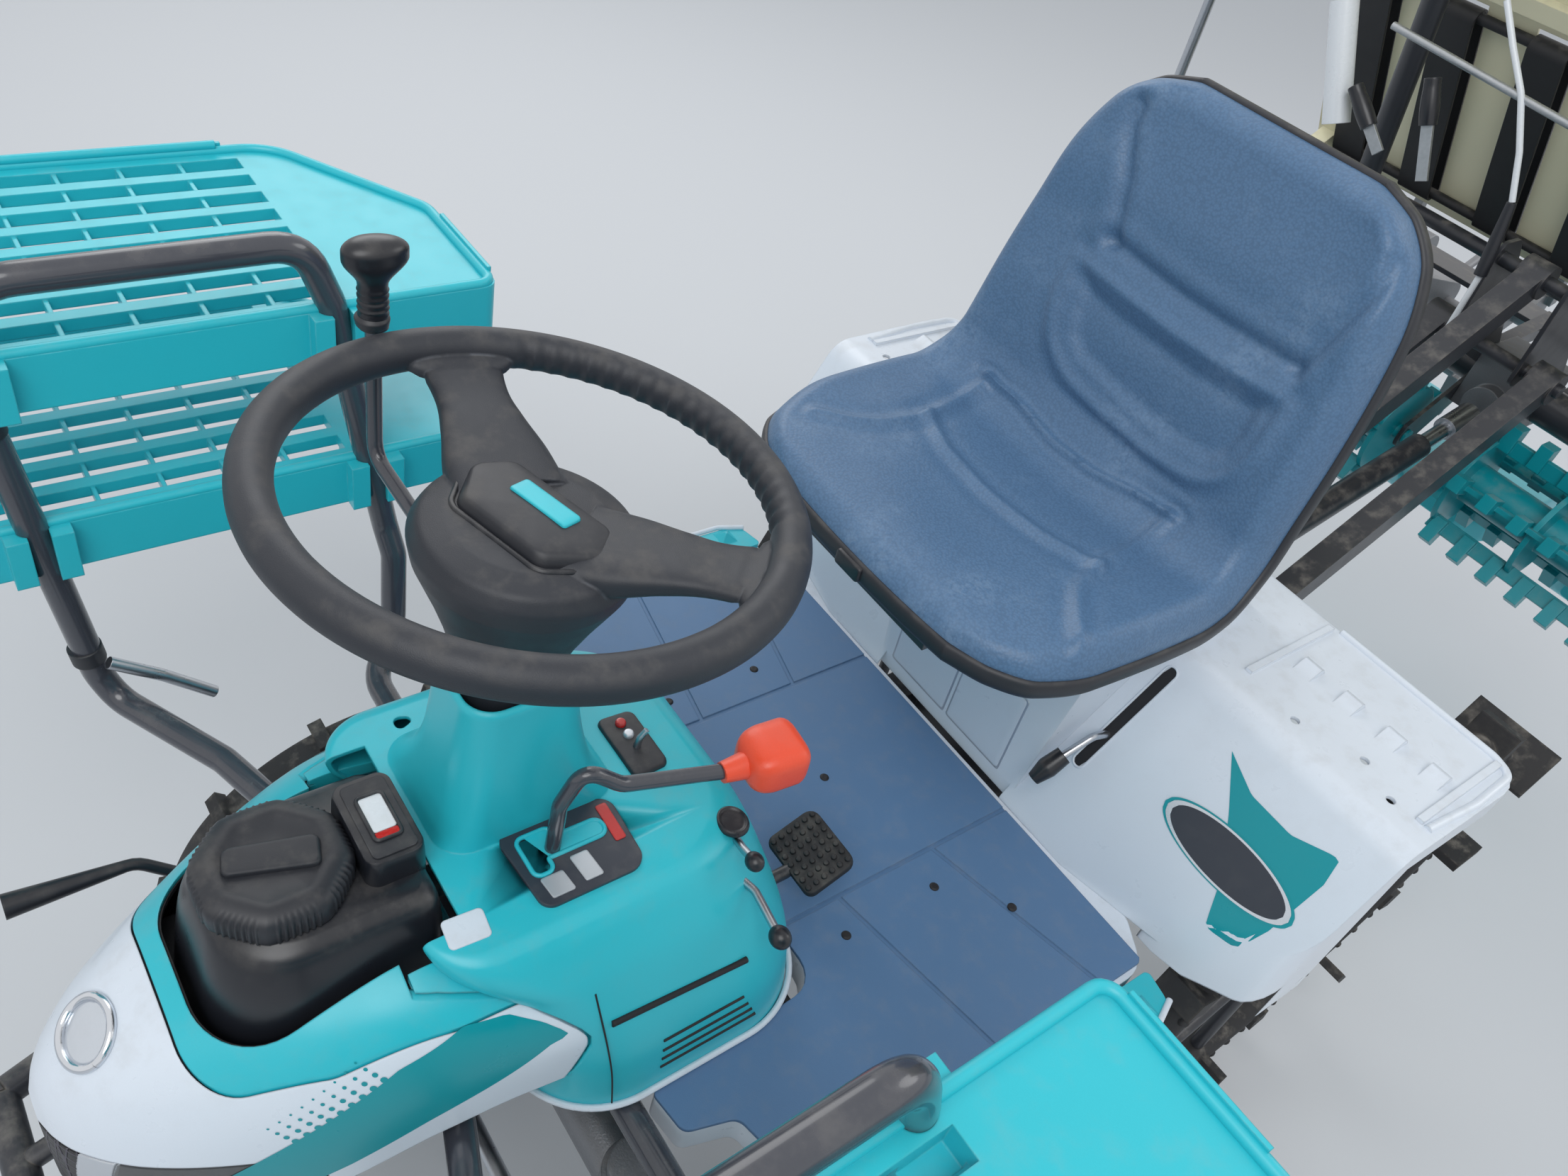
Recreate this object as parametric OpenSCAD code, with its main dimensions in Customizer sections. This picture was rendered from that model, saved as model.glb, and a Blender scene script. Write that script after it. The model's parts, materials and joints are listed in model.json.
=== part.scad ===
// Riding rice transplanter for four rows, parked with its planting section lifted.
// Millimetres. +Z is up, the nose points to -Y and the operator's left is +X.
// Every place along Y is written from a line across the bonnet, front_y ahead of the
// front axle. stand() moves the machine so that its origin is under its middle.

/* [Stance] */
// Height of the operator's floor above the ground
floor_h = 580; // [570:1:590]
// Front axle behind the line that places along Y are written from
front_y = 170; // [168:1:174]
// Distance between the front and rear axles
wheelbase = 925; // [922:1:928]
// Middle of a front wheel from the middle of the machine
front_x = 320; // [318:1:322]
// Middle of a rear wheel from the middle of the machine
wheel_x = 385; // [383:1:386]

/* [Wheels] */
// Front wheel radius to the tread
front_r = 262; // [256:1:264]
// Front tyre width
front_w = 80; // [70:1:84]
// Rear wheel radius to the tips of the lugs
rear_r = 384; // [378:1:386]
// Rear rim tube radius
rear_rim_r = 22; // [18:1:24]
// Width of a rear wheel paddle
paddle_w = 116; // [100:1:120]
// Paddles on a rear wheel
paddle_count = 8; // [6:1:10]
// Stub axle radius
stub_r = 16; // [14:0.5:18]
// Running clearance of a shaft in its bore
run_gap = 0.05; // [0.03:0.01:0.08]

/* [Steering] */
// Steering wheel radius to the outside of its rim
steer_wheel_r = 187; // [175:1:192]
// Steering wheel rim thickness radius
steer_rim_r = 14; // [12:0.5:16]
// Height of the steering wheel rim above the floor
steer_wheel_h = 530; // [520:1:545]
// Steering axis from the middle of the machine
kingpin_x = 235; // [233:1:237]
// Kingpin radius
kingpin_r = 17; // [15:0.5:18]
// Length of the steering arms
steer_arm = 88; // [80:1:92]

/* [Covers] */
// Wall of the plastic covers
cover_t = 4; // [3:0.5:5]
// Half width of the dash cover where it meets the floor
dash_w = 206; // [200:1:210]
// Height of the dash top above the floor
dash_h = 206; // [200:1:212]
// Height of the rear deck above the floor
deck_h = 232; // [226:1:240]
// Half width over the rear deck
deck_w = 455; // [445:1:460]
// Thickness of the rubber floor mat
mat_t = 4; // [3:0.5:6]

/* [Seat] */
// Width of the seat
seat_w = 434; // [420:1:450]
// Height of the seat's front lip above the floor
seat_h = 350; // [346:1:356]

/* [Seedling racks] */
// Rack tube radius
rack_r = 13.5; // [12:0.5:15]
// Plane of the rack tubes from the middle
rack_x = 422; // [420:1:426]
// Width of a rack tray
tray_w = 322; // [300:1:330]
// Length of a rack tray
tray_len = 640; // [620:1:660]
// Height of the lower rack tray above the floor
tray_low_h = 237; // [232:1:242]
// Height of the upper rack tray above the floor
tray_high_h = 412; // [405:1:416]

/* [Lift] */
// Length of a lift link between its pins
link_len = 620; // [610:1:630]
// Link angle with the planting section lifted, as parked
link_up = 30; // [28:1:31]
// Link angle with the planting section on the ground
link_down = -22; // [-23:1:-21]
// Link pin radius
pin_r = 10; // [8:0.5:12]

/* [Planting section] */
// Distance between planted rows
row_gap = 300; // [298:1:302]
// Reach of the planting claws from their rotor's shaft
claw_reach = 168; // [155:1:172]
// Levelling rotor radius to the tips of its lugs
rotor_r = 112; // [104:1:114]
// Half width of the levelling rotor
rotor_half = 600; // [560:1:620]
// Slope length of the seedling platform
platform_len = 980; // [940:1:1000]
// Slope of the seedling platform from level
platform_tilt = 58; // [57:1:59]
// Width of one seedling lane
lane_w = 288; // [280:1:290]

/* [Hidden] */
$fn = 48;
lanes = 4;

// Heights of the main features
top_z = floor_h + dash_h;
seat_z = floor_h + seat_h;
seat_hinge_y = 500;
seat_hinge_z = seat_z - 16;
deck_z = floor_h + deck_h;
rail_z = floor_h - 62;
front_z = front_r;
rear_z = rear_r;
rear_y = front_y + wheelbase;
steer_y = 147;
steer_z = floor_h + steer_wheel_h;
steer_lean = 5;

// Lift linkage: lower pin A, upper pin C on the chassis, B and D on the hitch
link_x = 85;
a_y = rear_y + 25;
a_z = floor_h + 30;
c_y = a_y - 20;
c_z = a_z + 120;
b_y = a_y + link_len * cos(link_up);
b_z = a_z + link_len * sin(link_up);
d_y = b_y + c_y - a_y;
d_z = b_z + c_z - a_z;
// How much higher than on the ground the planting section is parked
lift_h = link_len * (sin(link_up) - sin(link_down));

// Planting section, heights from the ground it works on
input_y = b_y + 123;
input_z = 252;
beam_y = input_y + 70;
beam_z = 275;
beam_r = 30;
shaft_y = beam_y + 330;
shaft_z = 205;
level_y = b_y + 58;
level_z = 175;
heel_y = beam_y + 210;
heel_z = 350;
rail_end_x = 745;
marker_x = 762;
marker_y = beam_y - 40;
marker_z = 300;
guard_r = 11;
guard_y = shaft_y + claw_reach + 24;
tray_rear = 330;
// The machine reaches from the rack trays to the guard behind the claws
mid_y = (tray_rear - tray_len + guard_y + guard_r) / 2;

// Shared helpers

// Moves the machine so that its middle is over the origin
module stand() translate([0, -mid_y, 0]) children();
// Raises what rides on the hitch from its working height to its parked height
module lifted() translate([0, 0, lift_h]) children();
module both_sides() { children(); mirror([1, 0, 0]) children(); }
module side(s) { if (s > 0) children(); else mirror([1, 0, 0]) children(); }
// A bar along X, centred, at a place in the YZ plane
module bar_x(y, z, r, half) translate([-half, y, z]) rotate([0, 90, 0])
    cylinder(r = r, h = 2 * half);
module bar_from(x0, x1, y, z, r) translate([x0, y, z]) rotate([0, 90, 0])
    cylinder(r = r, h = x1 - x0);
// A round rod from point p to point q
module rod(p, q, r) {
    d = q - p;
    len = norm(d);
    translate(p) rotate([0, acos(d[2] / len), atan2(d[1], d[0])]) cylinder(r = r, h = len);
}
// A bent tube through a list of points
module bent_tube(pts, r) {
    for (i = [0 : len(pts) - 2]) rod(pts[i], pts[i + 1], r);
    for (i = [1 : len(pts) - 2]) translate(pts[i]) sphere(r = r + 0.4);
}
// A square bar between two points of the YZ plane, centred at x
module square_bar(x, p, q, w, h) {
    d = q - p;
    translate([x, p[0], p[1]]) rotate([atan2(d[1], d[0]), 0, 0])
        translate([-w / 2, 0, -h / 2]) cube([w, norm(d), h]);
}
module box(lo, hi) translate(lo) cube(hi - lo);
// A plate across X, drawn in the YZ plane as [y, z]
module plate_x(x0, x1) translate([x0, 0, 0]) rotate([90, 0, 90])
    linear_extrude(x1 - x0) children();
// Points of a polygon with its corners rounded; each corner is [x, y, radius]
function unit(v) = v / norm(v);
function arc_corner(a, b, c, r, n) =
    let (u = unit(a - b), w = unit(c - b), half = acos(u * w) / 2,
        cut = r / tan(half), mid = b + unit(u + w) * r / sin(half),
        s = b + u * cut - mid, e = b + w * cut - mid,
        turn = (s[0] * e[1] - s[1] * e[0]) > 0 ? 1 : -1, sweep = 180 - 2 * half)
    [for (i = [0 : n]) let (t = turn * sweep * i / n)
        mid + [s[0] * cos(t) - s[1] * sin(t), s[0] * sin(t) + s[1] * cos(t)]];
function round_corners(p, n = 5) =
    [for (i = [0 : len(p) - 1])
        let (a = p[(i + len(p) - 1) % len(p)], b = p[i], c = p[(i + 1) % len(p)])
        each (b[2] == 0 ? [[b[0], b[1]]]
            : arc_corner([a[0], a[1]], [b[0], b[1]], [c[0], c[1]], b[2], n))];
module rounded(p, n = 5) polygon(round_corners(p, n));
// The whole outline of a shape given by its right half, from front to rear
function both_halves(p) = concat(p, [for (i = [len(p) - 1 : -1 : 0]) [-p[i][0], p[i][1], p[i][2]]]);
// A closed skin through rings of points that all have the same count
module loft(rings) {
    n = len(rings[0]);
    m = len(rings);
    polyhedron(points = [for (r = rings) each r],
        faces = concat(
            [[for (i = [n - 1 : -1 : 0]) i]],
            [for (k = [0 : m - 2], i = [0 : n - 1])
                let (a = k * n + i, b = k * n + (i + 1) % n) each [[a, b, b + n], [a, b + n, a + n]]],
            [[for (i = [0 : n - 1]) (m - 1) * n + i]]));
}

// Chassis

rail_x = 95;
guard_front = -262;
rail_w = 40;
rail_h = 50;
// Cross members: middles along Y, and half their width
cross_ys = [-98, 240, 782, a_y - 38];
cross_half = 18;
module chassis_frame() stand() color("dimgray") {
    both_sides() {
        box([rail_x - rail_w / 2, -116, rail_z - rail_h / 2],
            [rail_x + rail_w / 2, a_y - 30, rail_z + rail_h / 2]);
        // Rear bracket plates that hold the link pins and the lift cylinder
        plate_x(link_x - 45, link_x - 33) rounded([[a_y - 70, rail_z - 30, 5],
            [a_y + 22, a_z - 30, 18], [a_y + 22, a_z + 22, 18], [c_y + 20, c_z + 22, 18],
            [c_y - 22, c_z + 22, 18], [a_y - 70, a_z, 5]]);
        // Plates that carry the rack's feet
        for (f = [rack_foot_front, rack_foot_rear])
            box([rail_x - 8, f[1] - 18, rail_z], [f[0] - 0.2, f[1] + 18, f[2] + 18]);
        // Floor outriggers
        for (y = [352, 640]) box([rail_x, y - 16, rail_z - 10], [300, y + 16, floor_h - 36]);
        // Nose guard stay
        rod([40, -180, rail_z - 17], [40, guard_front, rail_z - 50], 10);
        // Deck stays
        rod([rail_x, deck_front + 152, rail_z + 20],
            [250, deck_front + 152, deck_z - cover_t - 5.2], 10);
    }
    for (y = cross_ys) box([-rail_x, y - cross_half, rail_z - 20], [rail_x, y + cross_half, rail_z + 20]);
    bent_tube([[-128, -206, rail_z - 50], [-110, guard_front, rail_z - 50],
        [110, guard_front, rail_z - 50], [128, -206, rail_z - 50]], 14);
    both_sides() bar_from(link_x - 45, link_x + 26, a_y, a_z, pin_r);
    bar_x(c_y, c_z, pin_r, link_x - 33);
    // Lift cylinder foot
    plate_x(-cyl_x - 22, -cyl_x - 14) rounded([[cyl_foot[0] - 50, rail_z + 6, 4],
        [cyl_foot[0] - 50, cyl_foot[1] - 18, 8], [cyl_foot[0] + 18, cyl_foot[1] - 18, 14],
        [cyl_foot[0] + 18, cyl_foot[1] + 18, 14], [cyl_foot[0] - 28, rail_z + 6, 4]]);
    bar_from(-cyl_x - 20, -cyl_x + 14, cyl_foot[0], cyl_foot[1], pin_r - 2);
    box([-cyl_x - 22, cyl_foot[0] - 50, rail_z - 20], [-rail_x, cyl_foot[0] - 30, rail_z]);
    // Seat post and bracket, with the lugs of the seat's hinge
    box([-50, 764, rail_z], [50, 800, seat_z - 34]);
    box([-92, seat_hinge_y - 10, seat_z - 34], [92, 800, seat_z - 26]);
    both_sides() plate_x(80, 88) rounded([[seat_hinge_y - 10, seat_z - 30, 3],
        [seat_hinge_y - 10, seat_hinge_z + 9, 8], [seat_hinge_y + 10, seat_hinge_z + 9, 8],
        [seat_hinge_y + 10, seat_z - 30, 3]]);
    bar_x(seat_hinge_y, seat_hinge_z, 5, 102);
    // Tongue under the nose, with the bonnet's hinge lugs
    box([-50, guard_front + 56, rail_z - 25], [50, -98, rail_z - 5]);
    for (x = [-40, 40]) plate_x(x - 4, x + 4) rounded([[-170, rail_z - 24, 3], [hood_y - 9, hood_z - 9, 8],
        [hood_y - 9, hood_z + 9, 8], [hood_y + 12, hood_z + 9, 6], [-190, rail_z - 6, 3], [-170, rail_z - 6, 3]]);
    bar_x(hood_y, hood_z, 5, 56);
}

engine_top = floor_h + 96;
module engine_block() stand() color("slategray") {
    box([-82, -128, rail_z + rail_h / 2 + 0.3], [82, 56, engine_top]);
}

module transmission_case() stand() color("gray") {
    box([-70, front_y - 40, axle_z - 42], [70, front_y + 190, rail_z - 20.3]);
    box([-60, front_y + 60, axle_z - 110], [60, front_y + 170, axle_z - 40]);
    translate([0, front_y + 188, rail_z - 70]) rotate([-90, 0, 0])
        cylinder(r = 32, h = wheelbase - 275);
    translate([0, rear_y - 92, rear_z + 30]) rotate([-90, 0, 0]) cylinder(r = 74, h = 150);
    // Take-off for the planting section, with the fork of its drive shaft
    box([-30, rear_y - 60, rear_z + 30], [30, cross_ys[3] - cross_half - 0.3, drive_p[1] + 26]);
    translate([0, rear_y - 40, drive_p[1]]) rotate([-90, 0, 0]) cylinder(r = 26, h = 54);
    both_sides() plate_x(18, 25) rounded([[rear_y + 10, drive_p[1] - 14, 0],
        [drive_p[0] + 14, drive_p[1] - 14, 13], [drive_p[0] + 14, drive_p[1] + 14, 13],
        [rear_y + 10, drive_p[1] + 14, 0]]);
    bar_x(drive_p[0], drive_p[1], fork_r, 22);
}

// Front axle and steering

axle_z = rail_z - 56;
// Puts its children on the front axle
module on_front_axle() translate([0, front_y, 0]) children();
module front_axle_case() stand() on_front_axle() color("gray") {
    difference() {
        union() {
            both_sides() bar_from(70.3, kingpin_x, 0, axle_z, 26);
            both_sides() translate([kingpin_x, 0, axle_z - 34]) cylinder(r = 31, h = 68);
        }
        both_sides() translate([kingpin_x, 0, axle_z - 40])
            cylinder(r = kingpin_r + run_gap, h = 80);
    }
}

arm_z = axle_z - 66;
rod_z = arm_z + 26;
module steer_arm_at(x) difference() {
    translate([x, 0, arm_z]) linear_extrude(12) rounded([[-20, 6, 8], [20, 6, 8],
        [14, -steer_arm, 12], [6, -steer_arm - 18, 8], [-6, -steer_arm - 18, 8],
        [-14, -steer_arm, 12]]);
    translate([x, -steer_arm, arm_z - 1]) cylinder(r = 6 + run_gap, h = 14);
}
module knuckle() {
    steer_arm_at(kingpin_x);
    translate([kingpin_x, 0, front_z]) cylinder(r = kingpin_r, h = axle_z + 40 - front_z);
    translate([kingpin_x, 0, front_z - 34]) cylinder(r = 28, h = axle_z - 36 - front_z + 34);
    translate([kingpin_x, 0, axle_z + 36]) cylinder(r = 26, h = 14);
    bar_from(kingpin_x, front_x - 34, 0, front_z, 30);
    bar_from(kingpin_x, front_x + 22, 0, front_z, stub_r);
}
module knuckle_left() stand() on_front_axle() color("gray") knuckle();
module knuckle_right() stand() on_front_axle() color("gray") mirror([1, 0, 0]) knuckle();

module pitman_arm() stand() on_front_axle() color("dimgray") {
    steer_arm_at(0);
    translate([0, 0, arm_z + 6]) cylinder(r = 18, h = axle_z - 42.5 - arm_z - 6);
}
module tie_rod() stand() on_front_axle() color("silver") {
    bar_x(-steer_arm, rod_z, 8, kingpin_x);
    for (x = [-kingpin_x, 0, kingpin_x]) translate([x, -steer_arm, arm_z - 6])
        cylinder(r = 6, h = rod_z - arm_z + 10);
    for (x = [-kingpin_x, 0, kingpin_x]) translate([x, -steer_arm, arm_z + 14])
        cylinder(r = 13, h = 22);
}

// Wheels

front_hub_w = 46;
module front_rim() difference() {
    union() {
        bar_from(front_x - 26, front_x + front_hub_w / 2 + 4, 0, front_z, 34);
        bar_from(front_x - 5, front_x + 5, 0, front_z, front_r - 64);
        // Rim ring
        translate([front_x, 0, front_z]) rotate([0, 90, 0]) rotate_extrude()
            translate([front_r - 74, -26]) square([10, 52]);
    }
    bar_from(front_x - 60, front_x + 23, 0, front_z, stub_r + run_gap);
    for (a = [0 : 60 : 300]) translate([front_x - 10, 0, front_z]) rotate([a, 0, 0])
        translate([0, 0, 118]) rotate([0, 90, 0]) cylinder(r = 26, h = 20);
}
module front_tyre() translate([front_x, 0, front_z]) rotate([0, 90, 0]) {
    rotate_extrude() polygon(round_corners([[front_r - 63.7, -30, 3], [front_r - 12, -front_w / 2, 8],
        [front_r - 12, front_w / 2, 8], [front_r - 63.7, 30, 3]], 3));
    for (i = [0 : 11], s = [-1, 1]) rotate([0, 0, i * 30 + (s > 0 ? 15 : 0)])
        translate([front_r - 16, -8, s > 0 ? 2 : -front_w / 2]) cube([15, 16, front_w / 2 - 2]);
}
module front_rim_left() stand() on_front_axle() color("white") front_rim();
module front_rim_right() stand() on_front_axle() color("white") mirror([1, 0, 0]) front_rim();
module front_tyre_left() stand() on_front_axle() color("#222428") front_tyre();
module front_tyre_right() stand() on_front_axle() color("#222428") mirror([1, 0, 0]) front_tyre();

rear_ring_r = rear_r - 56;
module rear_rim() difference() {
    union() {
        bar_from(wheel_x - 62, wheel_x + 18, rear_y, rear_z, 36);
        bar_from(wheel_x - 8, wheel_x + 8, rear_y, rear_z, 78);
        for (a = [0 : 60 : 300]) translate([wheel_x, rear_y, rear_z]) rotate([a, 0, 0])
            translate([0, 0, 30]) cylinder(r = 10, h = rear_ring_r - 30 - rear_rim_r - 0.3);
    }
    bar_from(wheel_x - 80, wheel_x + 10, rear_y, rear_z, stub_r + 1.5 + run_gap);
}
module rear_tyre() translate([wheel_x, rear_y, rear_z]) rotate([0, 90, 0]) {
    rotate_extrude() translate([rear_ring_r, 0]) circle(r = rear_rim_r);
    for (i = [0 : paddle_count - 1]) rotate([0, 0, i * 360 / paddle_count]) {
        // Wide flat paddle
        translate([rear_ring_r - 14, -7, -paddle_w / 2]) cube([rear_r - rear_ring_r + 13, 14, paddle_w]);
        // Short block between two paddles
        rotate([0, 0, 180 / paddle_count]) translate([rear_ring_r, -15, -26])
            cube([rear_r - rear_ring_r - 14, 30, 52]);
    }
}
module rear_rim_left() stand() color("#3a3d44") rear_rim();
module rear_rim_right() stand() color("#3a3d44") mirror([1, 0, 0]) rear_rim();
module rear_tyre_left() stand() color("#222428") rear_tyre();
module rear_tyre_right() stand() color("#222428") mirror([1, 0, 0]) rear_tyre();

module rear_axle_case() stand() color("gray") {
    both_sides() {
        bar_from(74, wheel_x - 86, rear_y, rear_z, 34);
        bar_from(wheel_x - 118, wheel_x - 66, rear_y, rear_z, 50);
        bar_from(wheel_x - 70, wheel_x + 8, rear_y, rear_z, stub_r + 1.5);
    }
}

// Operator's floor

mat_front = 397;
mat_rear = 709;
// Half outline of the floor: [x, y, corner radius]
floor_half = [[dash_w - 10, mat_front - 14, 30], [dash_w + 2, 190, 6],
    [252, 196, 12], [266, 244, 14], [318, 256, 20], [352, 380, 30], [352, mat_rear - 10, 40],
    [300, mat_rear + 22, 20], [165, mat_rear + 2, 30]];
module floor_outline() rounded(both_halves(floor_half));
module floor_pan() stand() color("white")
    translate([0, 0, floor_h - 36]) linear_extrude(36 - mat_t) floor_outline();
// Grooves between the mat's panels: [x0, y0, x1, y1]
groove_w = 5;
grooves = [[-130, 380, -130, 712], [130, 380, 130, 712], [130, 460, 352, 500],
    [-130, 460, -352, 500], [130, 590, 352, 645], [-130, 590, -352, 645]];
module floor_mat() stand() color("steelblue")
    translate([0, 0, floor_h - mat_t + 0]) difference() {
        linear_extrude(mat_t) intersection() {
            floor_outline();
            translate([-346, 0]) square([692, mat_rear - 6]);
        }
        for (g = grooves) translate([g[0], g[1], mat_t - 1.5])
            rotate([0, 0, atan2(g[3] - g[1], g[2] - g[0])])
            translate([0, -groove_w / 2, 0]) cube([norm([g[2] - g[0], g[3] - g[1]]), groove_w, 5]);
    }

step_x = 352.3;
module side_steps() stand() color("turquoise") both_sides() {
    translate([0, 0, floor_h - 40]) linear_extrude(40) rounded([[step_x, 376, 4],
        [step_x + 48, 384, 14], [step_x + 48, 690, 20], [step_x + 4, 700, 6]]);
    for (i = [0 : 5]) translate([step_x + (i % 2 == 0 ? 15 : 32), 410 + i * 50, floor_h])
        rotate([0, 0, 45]) cylinder(r1 = 17, r2 = 2, h = 9, $fn = 4);
}

// Rear cover: pedestal under the seat and a deck over each rear wheel

deck_front = 858;
deck_rear = 1051;
// Side view of the deck: [y, z, corner radius]
deck_side = [[mat_rear + 2, floor_h - 30, 0], [mat_rear + 2, floor_h, 12],
    [deck_front - 24, deck_z, 34], [deck_rear, deck_z, 10], [deck_rear, floor_h - 30, 0]];
deck_plan = [[0, mat_rear - 8, 0], [170, mat_rear - 8, 40], [330, mat_rear + 28, 60],
    [deck_w - 6, mat_rear + 54, 30], [deck_w, deck_rear, 46], [0, deck_rear, 0]];
module deck_solid(inset) intersection() {
    plate_x(0, deck_w - inset) translate([0, -inset]) rounded(deck_side);
    translate([0, 0, floor_h - 60]) linear_extrude(400) offset_plan(deck_plan, inset);
}
module offset_plan(p, inset) rounded([for (q = p) [max(q[0] - inset, 0),
    q[1] + (q[1] < deck_front ? inset : -inset), q[2]]]);
pedestal_w = 118;
// Holes of the deck: [x, y]
deck_holes = [[deck_w - 171, deck_front + 14], [deck_w - 101, deck_front + 39], [deck_w - 57, deck_front + 19]];
module rear_cover() stand() color("white") {
    both_sides() difference() {
        deck_solid(0);
        deck_solid(cover_t);
        // Open below and behind
        box([-1, deck_front, floor_h - 61], [deck_w + 1, deck_rear + 1, deck_z - 34]);
        box([-1, mat_rear - 20, floor_h - 61], [deck_w + 1, deck_rear + 1, floor_h - 22]);
        box([-1, mat_rear - 20, floor_h - 62], [pedestal_w - cover_t, deck_rear - 60, deck_z + 10]);
        foot_cut();
        // Arch inside the outer skin, clear of the wheel's paddles
        bar_from(wheel_x - paddle_w / 2 - 6, deck_w - cover_t - 2, rear_y, rear_z, rear_r + 5);
        // Fastener holes of the deck
        for (h = deck_holes) translate([h[0], h[1], deck_z - 20]) cylinder(r = 5, h = 40);
    }
    both_sides() {
        // Tabs that keep a seedling box from sliding
        for (d = [51, 104, 157, 210]) translate([deck_w - d, deck_rear - 101, deck_z])
            plate_x(-11, 11) polygon([[-16, -0.5], [16, -0.5], [9, 7], [3, 9]]);
        for (d = [27, 240]) box([deck_w - d - 4, deck_front + 22, deck_z - 0.5],
            [deck_w - d + 4, deck_rear - 16, deck_z + 4]);
    }
    // Pedestal, which flares as it rises and is open at the top
    difference() {
        pedestal(0);
        pedestal(cover_t);
        foot_cut();
    }
}
// The cover stands on the floor pan where the two meet
module foot_cut() box([-deck_w, mat_rear - 20, floor_h - 70], [deck_w, mat_rear + 30, floor_h - mat_t]);
module pedestal(inset) hull() {
    box([-pedestal_w + inset, mat_rear + 12 + inset, floor_h - 20 - inset],
        [pedestal_w - inset, deck_rear - 60 - inset, floor_h]);
    box([-150 + inset, mat_rear + 3 + inset, seat_z - 44 + inset * 2],
        [150 - inset, deck_rear - 80 - inset, seat_z - 40 + inset * 2]);
}

// Dash cover, fuel cowl and column

// Level rings of the dash: [height above floor, half width, front y, rear y, corner radius]
dash_rings = [[0, dash_w, 96, mat_front - 16, 60], [60, dash_w - 4, 90, mat_front - 26, 60],
    [150, dash_w - 38, 60, mat_front - 52, 62], [dash_h - 22, dash_w - 58, 34, mat_front - 66, 60],
    [dash_h, dash_w - 76, 26, mat_front - 84, 56]];
function dash_ring(d, inset) = [for (p = round_corners([
    [-d[1] + inset, d[2], 20], [-d[1] + inset, d[3] - inset, d[4] + 30],
    [d[1] - inset, d[3] - inset, d[4] + 30], [d[1] - inset, d[2], 20]], 5)) [p[0], p[1], 0]];
module dash_solid(inset, top) loft([for (d = dash_rings)
    [for (p = dash_ring(d, inset)) [p[0], p[1], floor_h + d[0] - (d[0] == dash_h ? top : 0)
        - (d[0] == 0 ? inset * 3 : 0)]]]);
// Rings of the hump round the column: [height above floor, right x, left x, front y, rear y]
hump_rings = [[dash_h - 30, -104, 40, 62, 240], [dash_h + 6, -92, 40, 74, 226],
    [dash_h + 40, -66, 40, 80, 208], [dash_h + 90, -50, 40, 84, 194], [dash_h + 160, -44, 40, 90, 182]];
hump_corner = 28;
module hump_solid(inset) loft([for (h = hump_rings)
    let (x0 = h[1] + inset, x1 = h[2] - inset, y0 = h[3] + inset, y1 = h[4] - inset, r = hump_corner - inset,
        lift = inset == 0 ? 0 : (h[0] < dash_h ? -5 : (h[0] > dash_h + 150 ? 1 : 0)))
    [for (p = round_corners([[x0, y0, r], [x0, y1, r], [x1, y1, r], [x1, y0, r]], 6))
        [p[0], p[1], floor_h + h[0] + lift]]]);
module dash_cover() stand() color("turquoise") difference() {
    union() {
        difference() {
            dash_solid(0, 0);
            dash_solid(cover_t + 1, cover_t);
        }
        intersection() {
            hump_solid(0);
            box([-200, 0, top_z - cover_t - 1], [200, 300, top_z + 300]);
        }
    }
    // Opening round the fuel cowl and the column
    box([-96, 0, floor_h + 30], [96, 62, floor_h + 300]);
    box([-200, 20, floor_h - 50], [200, 98, floor_h + 130]);
    hump_solid(cover_t);
    // Slot of the shift lever
    box([46, 122, top_z - 30], [84, 196, top_z + 1]);
    // Room for the back of the bonnet
    hood_solid(-2, 4);
}
module fuel_cowl() stand() color("#25272c") {
    loft([for (d = [[engine_top - floor_h + 0.3, 86, -118, 58], [170, 82, -108, 58], [200, 74, -100, 58],
        [216, 62, -88, 52]])
        [for (p = round_corners([[-d[1], d[2], 60], [-d[1], d[3], 16], [d[1], d[3], 16],
            [d[1], d[2], 60]], 6)) [p[0], p[1], floor_h + d[0]]]]);
    // Block of the fuel gauge
    translate([0, 0, floor_h + 150]) linear_extrude(92)
        rounded([[-44, 14, 12], [44, 14, 12], [44, 59.5, 12], [-44, 59.5, 12]]);
}
cap_y = -44;
cap_r = 58;
module fuel_cap() stand() color("#25272c") translate([0, cap_y, floor_h + 216.3]) {
    linear_extrude(26) rounded([for (a = [22.5 : 45 : 337.5]) [cap_r * cos(a), cap_r * sin(a), 10]], 3);
    // Grip ribs on each of the eight sides
    for (a = [0 : 45 : 315], k = [-3 : 3]) rotate([0, 0, a])
        translate([cap_r * cos(22.5) - 1, k * 5.4 - 1.3, 0]) cube([3, 2.6, 21]);
}
column_r = 34;
// How far the steering wheel's hub reaches below its rim
hub_drop = 128;
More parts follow.
